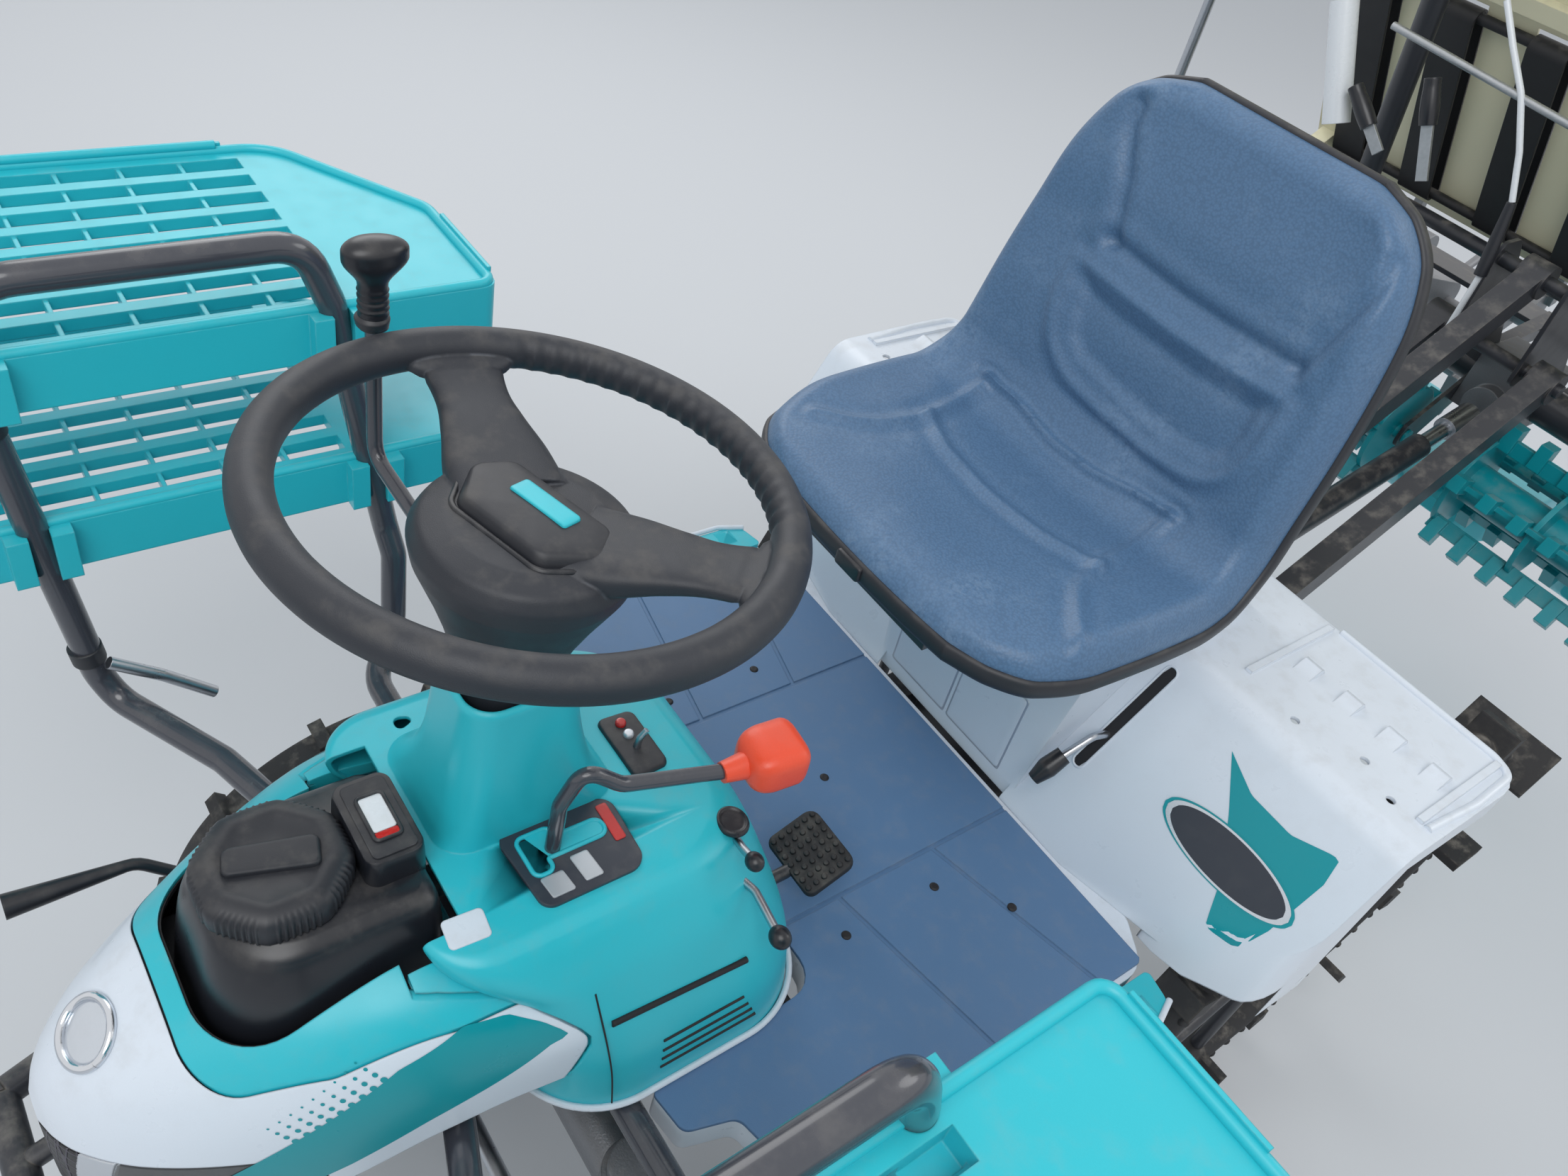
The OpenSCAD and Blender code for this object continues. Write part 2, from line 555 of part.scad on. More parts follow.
// Puts its children on the steering axis, with the steering wheel's centre at the origin
module steer_axis() translate([0, steer_y, steer_z]) rotate([-steer_lean, 0, 0]) children();
module steering_column() stand() color("#2b2e35") difference() {
    union() {
        steer_axis() translate([0, 0, -steer_wheel_h + dash_h - 60])
            cylinder(r = column_r, h = steer_wheel_h - dash_h + 60 - hub_drop - 8);
        // Flange against the inside of the hump
        intersection() {
            box([-110, 0, top_z - cover_t - 10], [110, 300, top_z - cover_t - 1.3]);
            hump_solid(cover_t + 0.3);
        }
    }
    steer_axis() translate([0, 0, -steer_wheel_h]) cylinder(r = 12 + run_gap, h = steer_wheel_h);
}
module steering_wheel() stand() color("#2b2e35") steer_axis() {
    rotate_extrude() translate([steer_wheel_r - steer_rim_r, 0]) circle(r = steer_rim_r);
    // Deep hub, open at its foot where the column ends
    rotate_extrude() polygon([[0, -12], [60, -12], [76, -18], [82, -32], [78, -50], [50, -hub_drop + 10],
        [44, -hub_drop], [0, -hub_drop]]);
    translate([0, 0, -steer_wheel_h + dash_h - 40]) cylinder(r = 12, h = steer_wheel_h - dash_h + 10);
    // Two spokes towards the operator, which flare where they meet the rim
    for (a = [38, 142]) rotate([0, 0, a]) translate([0, 0, -25]) linear_extrude(18)
        polygon([[30, -34], [70, -30], [112, -19], [140, -21], [steer_wheel_r - steer_rim_r - 2, -36],
            [steer_wheel_r - steer_rim_r - 2, 36], [140, 21], [112, 19], [70, 30], [30, 34]]);
}

module shift_lever() stand() color("#3a3d44") {
    bent_tube([[64, 150, top_z - 40], [70, 160, top_z + 105], [86, 190, top_z + 70],
        [104, 320, top_z + 64]], 7);
    translate([106, 338, top_z + 68]) sphere(r = 27);
    // Block under the gate
    box([45, 116, top_z - cover_t - 44], [90, 202, top_z - cover_t - 0.3]);
}
module planting_lever() stand() color("#25272c") {
    lever_knee = [-202, 118, steer_z - 112];
    rod([-column_r - 1.9, steer_y - 12, steer_z - 150], lever_knee, 6.5);
    rod(lever_knee, [-216, 125, steer_z + 34], 6.5);
    translate(lever_knee) sphere(r = 8);
    translate([-216, 125, steer_z + 18]) cylinder(r = 18, h = 52);
}
module pedals() stand() color("#3a3d44") {
    translate([60, mat_front + 10, floor_h + 40]) rotate([24, 0, 0]) cube([76, 60, 6]);
    rod([98, mat_front - 22, floor_h + 40], [98, mat_front + 30, floor_h + 46], 7);
}

// Seedling racks

rack_top = floor_h + 479;
rack_front_y = -126;
rack_rear_y = 166;
rack_foot_front = [rail_x + 6, 38, floor_h + 8];
rack_foot_rear = [rail_x + 6, front_y, floor_h - 18];
module rack_tube(r) bent_tube([rack_foot_front, [150, rack_foot_front[1], floor_h + 8], [289, -8, floor_h + 8],
    [rack_x - 16, -72, floor_h + 10], [rack_x, -84, floor_h + 40],
    [rack_x, rack_front_y, rack_top - 60], [rack_x, rack_front_y + 16, rack_top - 16],
    [rack_x, rack_front_y + 60, rack_top], [rack_x, rack_rear_y - 60, rack_top],
    [rack_x, rack_rear_y - 16, rack_top - 16], [rack_x, rack_rear_y, rack_top - 60],
    [rack_x, 212, floor_h + 140], [rack_x - 14, 216, floor_h + 106],
    [392, 208, floor_h + 14], [352, front_y, floor_h - 18], rack_foot_rear], r);
// Straight runs of the tube's two legs
module rack_leg_front(r) rod([rack_x, -84, floor_h + 40], [rack_x, rack_front_y, rack_top - 60], r);
module rack_leg_rear(r) rod([rack_x, rack_rear_y, rack_top - 60], [rack_x, 212, floor_h + 140], r);
module rack_frames() stand() color("#3a3d44") both_sides() rack_tube(rack_r);

tray_wall = 4;
tray_depth = 52;
slats = 8;
ribs = 7;
module tray(z, leg_front, leg_rear) {
    y0 = tray_rear - tray_len;
    x0 = rack_x - 4;
    pitch = (tray_w - 30) / slats;
    difference() {
        union() {
            difference() {
                translate([0, 0, z - tray_depth]) linear_extrude(tray_depth) rounded([
                    [x0, y0, 14], [x0 + tray_w, y0, 40], [x0 + tray_w, tray_rear - 110, 60],
                    [x0 + 160, tray_rear, 40], [x0, tray_rear, 14]]);
                translate([0, 0, z - tray_depth - 1]) linear_extrude(tray_depth - 11) rounded([
                    [x0 + tray_wall, y0 + tray_wall, 12],
                    [x0 + tray_w - tray_wall, y0 + tray_wall, 38],
                    [x0 + tray_w - tray_wall, tray_rear - 110 - tray_wall, 56],
                    [x0 + 160 - tray_wall, tray_rear - tray_wall, 36],
                    [x0 + tray_wall, tray_rear - tray_wall, 12]]);
            }
            // Outer wall that stands above the grid
            box([x0 + tray_w - tray_wall, y0 + 40, z - 10], [x0 + tray_w, tray_rear - 160, z + 34]);
            box([x0 + 20, tray_rear - tray_wall, z - 10], [x0 + 130, tray_rear, z + 30]);
            // Clips that hold the tray on the rack's legs
            for (y = [leg_front, leg_rear])
                box([rack_x - rack_r - 5, y - 27, z - tray_depth], [x0 + 40, y + 27, z]);
        }
        // Slots of the grid
        for (i = [0 : slats - 1]) box([x0 + 15 + i * pitch + 7, y0 + 36, z - 20],
            [x0 + 15 + (i + 1) * pitch - 7, tray_rear - 150, z + 1]);
        // The rack's legs, and the mouths of the clips
        rack_leg_front(rack_r + run_gap);
        rack_leg_rear(rack_r + run_gap);
        for (y = [leg_front, leg_rear]) box([rack_x - rack_r - 6, y - 9, z - 80], [rack_x, y + 9, z + 60]);
    }
    for (k = [1 : ribs]) let (y = y0 + 36 + k * (tray_len - 186) / (ribs + 1))
        box([x0 + 20, y - 2, z - 12], [x0 + tray_w - 15, y + 2, z - 2]);
}
module upper_trays() stand() color("turquoise") both_sides()
    tray(floor_h + tray_high_h, -121, 172);
module lower_trays() stand() color("turquoise") both_sides()
    tray(floor_h + tray_low_h, -103, 200);

// Bonnet

hood_y = -222;
hood_z = rail_z - 6;
// Rings across the bonnet: [y, half width, bottom height, top height above floor, roundness]
hood_rings = [[-232, 26, -20, 60, 2.2], [-214, 66, -52, 92, 2.4], [-176, 98, -60, 124, 2.6],
    [-120, 124, -40, 152, 2.8], [-50, 148, 0, 178, 3], [20, 164, 36, 192, 3.2], [88, 176, 60, 176, 3.4]];
hood_steps = 14;
function hood_ring(h, inset, drop) = concat(
    [for (i = [0 : hood_steps]) let (t = 180 * i / hood_steps, e = 2 / h[4],
        c = cos(t), s = sin(t), z0 = floor_h + h[2] - drop, z1 = floor_h + h[3] - inset)
        [(h[1] - inset) * sign(c) * pow(abs(c), e), h[0], z0 + (z1 - z0) * pow(abs(s), e)]]);
module hood_solid(inset, drop) loft([for (h = hood_rings) hood_ring(h, inset, drop)]);
module hood_inner() loft([for (h = hood_rings)
    let (y = h[0] < -200 ? h[0] + cover_t + (h[0] < -220 ? 1 : 0) : (h[0] > 80 ? h[0] + 2 : h[0]))
    [for (p = hood_ring(h, cover_t, 8)) [p[0], y, p[2]]]]);
module hood_shell() difference() {
    hood_solid(0, 0);
    hood_inner();
}
// Where the teal inlay lies, seen from above
inlay_plan = [[-128, 96, 10], [-128, -40, 70], [-90, -134, 60], [90, -134, 60], [128, -40, 70], [128, 96, 10]];
cowl_plan = [[-92, 120, 5], [-92, -124, 62], [92, -124, 62], [92, 120, 5]];
// The grille and lamps fill the lower front
module nose_zone() box([-300, -260, floor_h - 100], [300, -62, floor_h + 52]);
module bonnet() stand() color("white") difference() {
    hood_shell();
    translate([0, 0, floor_h]) linear_extrude(400) rounded(inlay_plan);
    nose_zone();
}
module bonnet_inlay() stand() color("turquoise") intersection() {
    hood_shell();
    translate([0, 0, floor_h]) linear_extrude(400) difference() {
        offset(delta = -0.3) rounded(inlay_plan);
        rounded(cowl_plan);
    }
}
module nose_grille() stand() color("#3a3d44") {
    hood_ears();
    intersection() {
        hood_shell();
        translate([0, 0, -0.3]) nose_zone();
        difference() {
            box([-70, -260, 0], [70, -62, 2000]);
            // Hexagonal holes of the grille
            for (i = [-5 : 5], k = [0 : 7]) if (abs(i) % 2 == k % 2)
                translate([i * grille_pitch, -150, floor_h - 42 + k * grille_pitch * 1.15])
                rotate([90, 0, 0]) cylinder(r = grille_pitch * 0.72, h = 110, $fn = 6);
        }
    }
}
grille_pitch = 9.6;
module hood_ears() for (x = [-50, 50]) difference() {
    plate_x(x - 4, x + 4) rounded([[hood_y - 8, hood_z - 9, 8], [hood_y + 10, hood_z - 9, 8],
        [hood_y + 12, floor_h + 8, 4], [hood_y + 2, floor_h + 8, 4]]);
    bar_x(hood_y, hood_z, 5 + run_gap, 60);
}
module headlamps() stand() color("lightgray") difference() {
    intersection() {
        hood_shell();
        translate([0, 0, -0.3]) nose_zone();
    }
    box([-70.3, -260, 0], [70.3, -62, 2000]);
}

// Seat

seat_front_y = 472;
// The seat's sheet runs back flat, bends up on an arc and ends straight
seat_flat = 228;
seat_bend_r = 100;
seat_bend = 78;
seat_arc = seat_bend_r * seat_bend * PI / 180;
// Rows across the seat: [distance along the sheet, half width, thickness]
seat_rows = [[0, 120, 18], [14, 160, 34], [44, 194, 44], [100, 211, 45], [seat_flat, 217, 45],
    [seat_flat + seat_arc * 0.33, 216, 46], [seat_flat + seat_arc * 0.67, 211, 48],
    [seat_flat + seat_arc, 207, 48], [460, 201, 46], [560, 188, 42], [615, 168, 38], [645, 136, 30],
    [659, 96, 16]];
// Place in the YZ plane at distance s along the sheet and height h above it
function seat_at(s, h) = s <= seat_flat ? [seat_front_y + s, seat_z + h]
    : let (t = min(s - seat_flat, seat_arc) / seat_bend_r * 180 / PI, rest = max(s - seat_flat - seat_arc, 0))
        [seat_front_y + seat_flat + (seat_bend_r - h) * sin(t) + rest * cos(t),
         seat_z + seat_bend_r - (seat_bend_r - h) * cos(t) + rest * sin(t)];
seat_round = 24;
function seat_ring(row) = let (w = row[1] * seat_w / 434)
    [for (k = [0 : seat_round - 1]) let (a = 360 * k / seat_round, c = cos(a), n = sin(a),
        x = w * sign(c) * pow(abs(c), 0.4), lip = 9 * pow(abs(x) / w, 3),
        h = n > 0.01 ? 2 + (row[2] - 9 + lip) * pow(n, 0.5) : 2 - 0.2 * pow(max(-n, 0), 0.5),
        p = seat_at(row[0], h)) [x, p[0], p[1]]];
module seat_cushion() stand() color("steelblue") loft([for (row = seat_rows) seat_ring(row)]);
module seat_pan() stand() color("#25272c") {
    box([-150, seat_front_y + 58, seat_z - 10], [150, seat_front_y + seat_flat, seat_z + 1.7]);
    both_sides() {
        box([30, 640, seat_z - 25.7], [70, 696, seat_z - 9]);
        // Ears of the hinge
        difference() {
            plate_x(92, 100) rounded([[seat_hinge_y - 9, seat_hinge_z - 9, 8],
                [seat_hinge_y + 9, seat_hinge_z - 9, 8], [seat_front_y + 80, seat_z - 8, 3],
                [seat_front_y + 58, seat_z - 1, 3], [seat_hinge_y - 4, seat_hinge_z + 9, 6]]);
            bar_from(90, 102, seat_hinge_y, seat_hinge_z, 5 + run_gap);
        }
    }
}

// Lift linkage

eye_r = 24;
module eye(x0, x1, y, z, bore) difference() {
    bar_from(x0, x1, y, z, eye_r);
    bar_from(x0 - 1, x1 + 1, y, z, bore + run_gap);
}
module link(x, w, p, q) difference() {
    union() {
        square_bar(x, p + unit(q - p) * 10, q - unit(q - p) * 10, w - 6, 38);
        bar_from(x - w / 2, x + w / 2, p[0], p[1], eye_r);
        bar_from(x - w / 2, x + w / 2, q[0], q[1], eye_r);
    }
    bar_from(x - w, x + w, p[0], p[1], pin_r + run_gap);
    bar_from(x - w, x + w, q[0], q[1], pin_r + run_gap);
}
// Lift cylinder: its foot on the chassis and its rod's eye on the right link
cyl_x = 141;
cyl_foot = [rear_y - 35, rear_z + 74];
cyl_arm = 230;
cyl_eye = [a_y + cyl_arm * cos(link_up), a_z + cyl_arm * sin(link_up)];
cyl_dir = unit(cyl_eye - cyl_foot);
module lower_links() stand() color("#3a3d44") {
    both_sides() link(link_x, 40, [a_y, a_z], [b_y, b_z]);
    // Pin for the lift cylinder
    bar_from(-cyl_x - 14, -link_x, cyl_eye[0], cyl_eye[1], pin_r - 2);
}
module upper_link() stand() color("#3a3d44") link(0, 40, [c_y, c_z], [d_y, d_z]);
module lift_cylinder() stand() color("#3a3d44") difference() {
    union() {
        rod(p3(-cyl_x, cyl_foot + cyl_dir * 36), p3(-cyl_x, cyl_foot + cyl_dir * 245), 20);
        rod(p3(-cyl_x, cyl_foot + cyl_dir * 14), p3(-cyl_x, cyl_foot + cyl_dir * 40), 11);
        bar_from(-cyl_x - 12, -cyl_x + 12, cyl_foot[0], cyl_foot[1], 18);
    }
    bar_from(-cyl_x - 20, -cyl_x + 20, cyl_foot[0], cyl_foot[1], pin_r - 2 + run_gap);
    rod(p3(-cyl_x, cyl_foot + cyl_dir * 60), p3(-cyl_x, cyl_foot + cyl_dir * 260), 12 + run_gap);
}
function p3(x, p) = [x, p[0], p[1]];
module lift_rod() stand() color("silver") {
    rod(p3(-cyl_x, cyl_foot + cyl_dir * 170), p3(-cyl_x, cyl_eye - cyl_dir * 21), 12);
    difference() {
        bar_from(-cyl_x - 12, -cyl_x + 12, cyl_eye[0], cyl_eye[1], 25);
        bar_from(-cyl_x - 20, -cyl_x + 20, cyl_eye[0], cyl_eye[1], 18);
    }
}

// Drive shaft from the rear case to the planting input
drive_p = [rear_y + 39, floor_h + 42];
fork_r = 6;
drive_q = [input_y, input_z + lift_h];
drive_dir = unit(drive_q - drive_p);
drive_len = norm(drive_q - drive_p);
module drive_tube() stand() color("#3a3d44") difference() {
    union() {
        rod(p3(0, drive_p + drive_dir * 34), p3(0, drive_p + drive_dir * (drive_len - 150)), 19);
        rod(p3(0, drive_p + drive_dir * 8), p3(0, drive_p + drive_dir * 36), 10);
        bar_x(drive_p[0], drive_p[1], 13, 17);
    }
    bar_x(drive_p[0], drive_p[1], fork_r + run_gap, 20);
    rod(p3(0, drive_p + drive_dir * 120), p3(0, drive_p + drive_dir * drive_len), 12 + run_gap);
}
module drive_rod() stand() color("silver") {
    rod(p3(0, drive_p + drive_dir * 300), p3(0, drive_p + drive_dir * (drive_len - 50)), 12);
    rod(p3(0, drive_p + drive_dir * (drive_len - 90)), p3(0, drive_p + drive_dir * (drive_len - 30)), 18);
}

// Planting section

mast_x = 56;
module planting_frame() stand() lifted() color("#3a3d44") {
    bl_z = b_z - lift_h;
    dl_z = d_z - lift_h;
    // Mast plates and pins of the hitch
    both_sides() plate_x(mast_x - 6, mast_x) rounded([[b_y - 24, bl_z - 20, 14],
        [b_y + 20, bl_z - 30, 14], [beam_y - 14, beam_z + 6, 6], [beam_y + 14, beam_z + 24, 6],
        [d_y + 30, dl_z + 24, 16], [d_y - 22, dl_z + 24, 16]]);
    bar_x(b_y, bl_z, pin_r, link_x + 26);
    bar_x(d_y, dl_z, pin_r, mast_x);
    // Main beam
    both_sides() bar_from(mast_x - 6, rail_end_x, beam_y, beam_z + 0, beam_r);
    // Lower rail under the platform with a port at each row
    difference() {
        box([-rail_end_x, heel_y - 38, heel_z - 46], [rail_end_x, heel_y + 34, heel_z - 38]);
        for (i = [0 : lanes - 1]) translate([(i - 1.5) * row_gap - 17, heel_y - 22, heel_z - 60])
            cube([34, 70, 40]);
    }
    both_sides() for (x = [70, rail_end_x - 14]) {
        square_bar(x, [beam_y + 10, beam_z + 8], [heel_y + 18, heel_z - 42], 24, 24);
    }
    // Rods that the platform slides on, and what carries them
    both_sides() rod([354, beam_y - 4, beam_z + 20], p3(354, slope(guide_s[1], guide_off)), 18);
    for (g = guide_s) bar_x(slope(g, guide_off)[0], slope(g, guide_off)[1], guide_r, rail_end_x - 8);
    both_sides() plate_x(rail_end_x - 22, rail_end_x - 12) rounded([[beam_y + 70, beam_z + 4, 6],
        [beam_y + 110, beam_z + 8, 6], slope_corner(guide_s[0], guide_off, 14),
        slope_corner(guide_s[0] + 24, guide_off, 14)]);
    // Marker brackets
    both_sides() {
        box([rail_end_x - 30, marker_y + 20, beam_z - 14], [marker_x + 14, beam_y, marker_z + 14]);
        translate([marker_x, marker_y - 24, marker_z]) rotate([-90, 0, 0]) cylinder(r = 9, h = 60);
        // Plates that hold the levelling rotor's shaft
        for (x = [mast_x - 6, rotor_half + 8]) difference() {
            plate_x(x, x + 6) rounded([[level_y - 20, level_z - 18, 14], [level_y + 24, level_z - 20, 14],
                [beam_y + 10, beam_z - 24, 8], [beam_y, beam_z + 10, 8], [beam_y - 26, beam_z, 8],
                [level_y - 18, level_z + 20, 14]]);
            bar_from(x - 1, x + 8, level_y, level_z, 12 + run_gap);
        }
    }
}
// The two rods along X under the platform: slope distances, depth below and radius
guide_s = [60, 700];
guide_off = 40;
guide_r = 12;
// Point of the platform's underside at slope distance s
function slope(s, off) = [heel_y - s * cos(platform_tilt) - off * sin(platform_tilt),
    heel_z + s * sin(platform_tilt) - off * cos(platform_tilt)];
function slope_corner(s, off, r) = [slope(s, off)[0], slope(s, off)[1], r];

module planting_cases() stand() lifted() color("ivory") {
    // Centre case with the input
    box([-mast_x + 6.3, input_y + 18, beam_z - 50], [mast_x - 6.3, beam_y + 48, beam_z + 50]);
    translate([0, input_y - 6, input_z]) rotate([-90, 0, 0]) cylinder(r = 30, h = 40);
    for (s = [-1, 1]) translate([s * row_gap, 0, 0]) difference() {
        union() {
            plate_x(-26, 26) rounded([[beam_y - 40, beam_z - 50, 20], [beam_y - 40, beam_z + 40, 20],
                [beam_y + 60, beam_z + 36, 20], [shaft_y + 34, shaft_z + 34, 30],
                [shaft_y + 34, shaft_z - 34, 30], [beam_y + 60, beam_z - 50, 20]]);
        }
        bar_from(-40, 40, beam_y, beam_z, beam_r + 0.3);
        bar_from(-40, 40, shaft_y, shaft_z, 14 + run_gap);
    }
    // Guard behind the claws
    for (s = [-1, 1]) rod([s * row_gap, shaft_y + 20, shaft_z + 24], [s * row_gap, guard_y, guard_z], 8);
    bent_tube([[-560, guard_y - 40, guard_z], [-530, guard_y, guard_z], [530, guard_y, guard_z],
        [560, guard_y - 40, guard_z]], guard_r - 0.4);
}
guard_z = shaft_z + 110;

module claw_rotor(s) translate([s * row_gap, shaft_y, shaft_z]) {
    bar_x(0, 0, 14, 120);
    for (t = [-1, 1]) {
        // Rotary case
        translate([t > 0 ? 84 : -124, 0, 0]) rotate([case_tilt, 0, 0]) plate_x(0, 40)
            rounded([[-118, -34, 33], [118, -34, 33], [118, 34, 33], [-118, 34, 33]]);
        // Planting arms and claws
        for (k = [0, 180]) rotate([case_tilt + k, 0, 0]) {
            translate([t * 134, 0, 0]) plate_x(-14, 14)
                rounded([[62, -24, 10], [118, -27, 14], [131, 10, 14], [96, 38, 12], [66, 24, 10]]);
            translate([t * 150, 0, 0]) plate_x(-9, 9) polygon([[106, 12], [126, 9],
                [136, 60], claw_tip, [claw_tip[0] - 8, claw_tip[1] - 1], [116, 62]]);
        }
    }
}
case_tilt = 24;
claw_tip = [claw_reach * cos(36), claw_reach * sin(36)];
module claw_rotor_left() stand() lifted() color("gray") claw_rotor(1);
module claw_rotor_right() stand() lifted() color("gray") claw_rotor(-1);

// Floats: [middle x, half width, front y, rear y]
float_rows = [[0, 104, -20, 400], [row_gap, 104, 6, 400], [-row_gap, 104, 6, 400]];
module floats() stand() lifted() color("turquoise") for (f = float_rows) {
    translate([f[0], 0, 0]) loft([for (r = [[f[2], 0.55, 36, 60], [f[2] + 40, 0.9, 14, 62],
        [f[2] + 110, 1, 0, 60], [f[3] - 60, 1, 0, 48], [f[3], 0.9, 8, 36]])
        [for (p = round_corners([[-f[1] * r[1], r[2], 8], [f[1] * r[1], r[2], 8],
            [f[1] * r[1], r[3], 10], [-f[1] * r[1], r[3], 10]], 3)) [p[0], beam_y + r[0], p[1]]]]);
    // Pivot post
    translate([f[0], 0, 0]) plate_x(-8, 8) polygon([[beam_y + 20, 50], [beam_y + 90, 50],
        [beam_y + 40, beam_z - 50.3], [beam_y + 4, beam_z - 50.3]]);
}

// Levelling rotor: bars of lugs on two barrels
bar_count = 5;
lug_pitch = 50;
module level_rotor() translate([0, level_y, level_z]) {
    bar_from(46, rotor_half + 20, 0, 0, 12);
    bar_from(66, rotor_half, 0, 0, 32);
    for (x = [66 : 129 : rotor_half - 8]) bar_from(x, x + 8, 0, 0, rotor_r - 34);
    for (b = [0 : bar_count - 1]) rotate([b * 360 / bar_count, 0, 0]) {
        translate([66, -4, rotor_r - 46]) cube([rotor_half - 66, 8, 24]);
        for (x = [72 : lug_pitch : rotor_half - 20]) translate([x, -12, rotor_r - 42])
            cube([20, 24, 40]);
    }
}
module level_rotor_left() stand() lifted() color("teal") level_rotor();
module level_rotor_right() stand() lifted() color("teal") mirror([1, 0, 0]) level_rotor();

// Seedling platform, drawn on its slope: s up the slope, off above its underside
platform_half = lanes * lane_w / 2 + 8;
module on_slope() translate([0, heel_y, heel_z]) rotate([-platform_tilt, 0, 0]) rotate([0, 0, 180])
    children();
module seedling_platform() stand() lifted() color("ivory") on_slope() {
    difference() {
        box([-platform_half, 40, 0], [platform_half, platform_len, 34]);
        // Seedling lanes, and the windows for the feed belts
        for (i = [0 : lanes - 1]) box([(i - lanes / 2) * lane_w + 5, 30, 5],
            [(i + 1 - lanes / 2) * lane_w - 5, platform_len - 60, 40]);
        for (i = [0 : lanes - 1], s = [-1, 1]) box([(i - 1.5) * lane_w + s * 70 - 34, 60, -1],
            [(i - 1.5) * lane_w + s * 70 + 34, 440, 10]);
    }
    // Cross rails under the platform
    for (s = [460, 560, 800]) box([-platform_half + 4, s, -14], [platform_half - 4, s + 30, 1]);
    // Shoes that ride on the guide rods
    for (x = [-575, 545], s = guide_s) difference() {
        box([x, s - 22, -guide_off - 22], [x + 30, s + 22, 1]);
        translate([x - 1, s, -guide_off]) rotate([0, 90, 0]) cylinder(r = guide_r + run_gap, h = 32);
    }
}
module feed_belts() stand() lifted() color("#222428") on_slope() {
    for (i = [0 : lanes - 1], s = [-1, 1]) translate([(i - 1.5) * lane_w + s * 70 - 30, 0, 0])
        rotate([90, 0, 90]) linear_extrude(60) difference() {
            rounded([[66, -24, 14], [434, -24, 14], [434, 8, 14], [66, 8, 14]]);
            rounded([[70, -20, 11], [430, -20, 11], [430, 4, 11], [70, 4, 11]]);
        }
    for (s = [77, 423]) translate([-538, s, -8.3]) rotate([0, 90, 0]) cylinder(r = 8, h = 1076);
}

module marker() {
    difference() {
        translate([marker_x, marker_y - 14, marker_z]) rotate([-90, 0, 0]) cylinder(r = 20, h = 28);
        translate([marker_x, marker_y - 30, marker_z]) rotate([-90, 0, 0]) cylinder(r = 9 + run_gap, h = 60);
    }
    bent_tube([[marker_x, marker_y, marker_z + 16], [marker_x, marker_y - 10, marker_z + 520],
        [marker_x - 20, marker_y - 10, marker_z + 640], [marker_x - 20, marker_y - 10, marker_z + 780]], 9);
    translate([marker_x - 32, marker_y - 10, marker_z + 790]) rotate([0, 90, 0]) cylinder(r = 50, h = 8);
}
module marker_left() stand() lifted() color("silver") marker();
module marker_right() stand() lifted() color("silver") mirror([1, 0, 0]) marker();

chassis_frame();
engine_block();
transmission_case();
front_axle_case();
rear_axle_case();
floor_pan();
floor_mat();
side_steps();
rear_cover();
dash_cover();
fuel_cowl();
fuel_cap();
steering_column();
shift_lever();
planting_lever();
pedals();
rack_frames();
upper_trays();
lower_trays();
bonnet();
bonnet_inlay();
nose_grille();
headlamps();
seat_pan();
seat_cushion();
steering_wheel();
pitman_arm();
tie_rod();
knuckle_left();
knuckle_right();
front_rim_left();
front_tyre_left();
front_rim_right();
front_tyre_right();
rear_rim_left();
rear_tyre_left();
rear_rim_right();
rear_tyre_right();
lower_links();
upper_link();
lift_cylinder();
lift_rod();
drive_tube();
drive_rod();
planting_frame();
planting_cases();
floats();
level_rotor_left();
level_rotor_right();
claw_rotor_left();
claw_rotor_right();
seedling_platform();
feed_belts();
marker_left();
marker_right();
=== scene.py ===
"""Looks of the riding rice transplanter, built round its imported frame."""
import json
import math

import bmesh
import bpy
import numpy as np
from mathutils import Matrix, Vector
from mathutils.geometry import tessellate_polygon

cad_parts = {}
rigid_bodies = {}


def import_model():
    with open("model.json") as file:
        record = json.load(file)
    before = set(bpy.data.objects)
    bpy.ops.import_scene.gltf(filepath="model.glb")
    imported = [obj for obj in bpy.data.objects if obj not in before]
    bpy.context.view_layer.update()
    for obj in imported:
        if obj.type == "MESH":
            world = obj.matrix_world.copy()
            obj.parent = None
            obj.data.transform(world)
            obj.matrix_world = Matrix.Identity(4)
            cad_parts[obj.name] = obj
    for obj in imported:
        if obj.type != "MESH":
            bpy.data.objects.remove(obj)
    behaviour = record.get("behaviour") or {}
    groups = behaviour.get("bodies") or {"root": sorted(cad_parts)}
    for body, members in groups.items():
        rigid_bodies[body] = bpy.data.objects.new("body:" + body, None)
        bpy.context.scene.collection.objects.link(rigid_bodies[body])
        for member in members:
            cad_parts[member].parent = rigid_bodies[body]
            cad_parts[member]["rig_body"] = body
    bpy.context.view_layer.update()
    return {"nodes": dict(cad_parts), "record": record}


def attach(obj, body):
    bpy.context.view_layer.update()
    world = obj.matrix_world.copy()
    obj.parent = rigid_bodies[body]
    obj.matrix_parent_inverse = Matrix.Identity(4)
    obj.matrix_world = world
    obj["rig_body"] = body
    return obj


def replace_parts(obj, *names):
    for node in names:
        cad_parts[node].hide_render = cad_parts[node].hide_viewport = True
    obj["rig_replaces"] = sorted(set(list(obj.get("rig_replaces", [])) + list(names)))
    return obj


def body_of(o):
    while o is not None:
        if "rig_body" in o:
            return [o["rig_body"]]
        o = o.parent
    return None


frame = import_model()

NODES = frame["nodes"]

# Every place below is written in millimetres, as in the part's source: height above the ground,
# and distance behind a line across the bonnet. The row frame starts under the machine's middle.
MID_Y = 1036.468
FLOOR = 580.0
SEAT = 930.0
TAU = 2 * math.pi


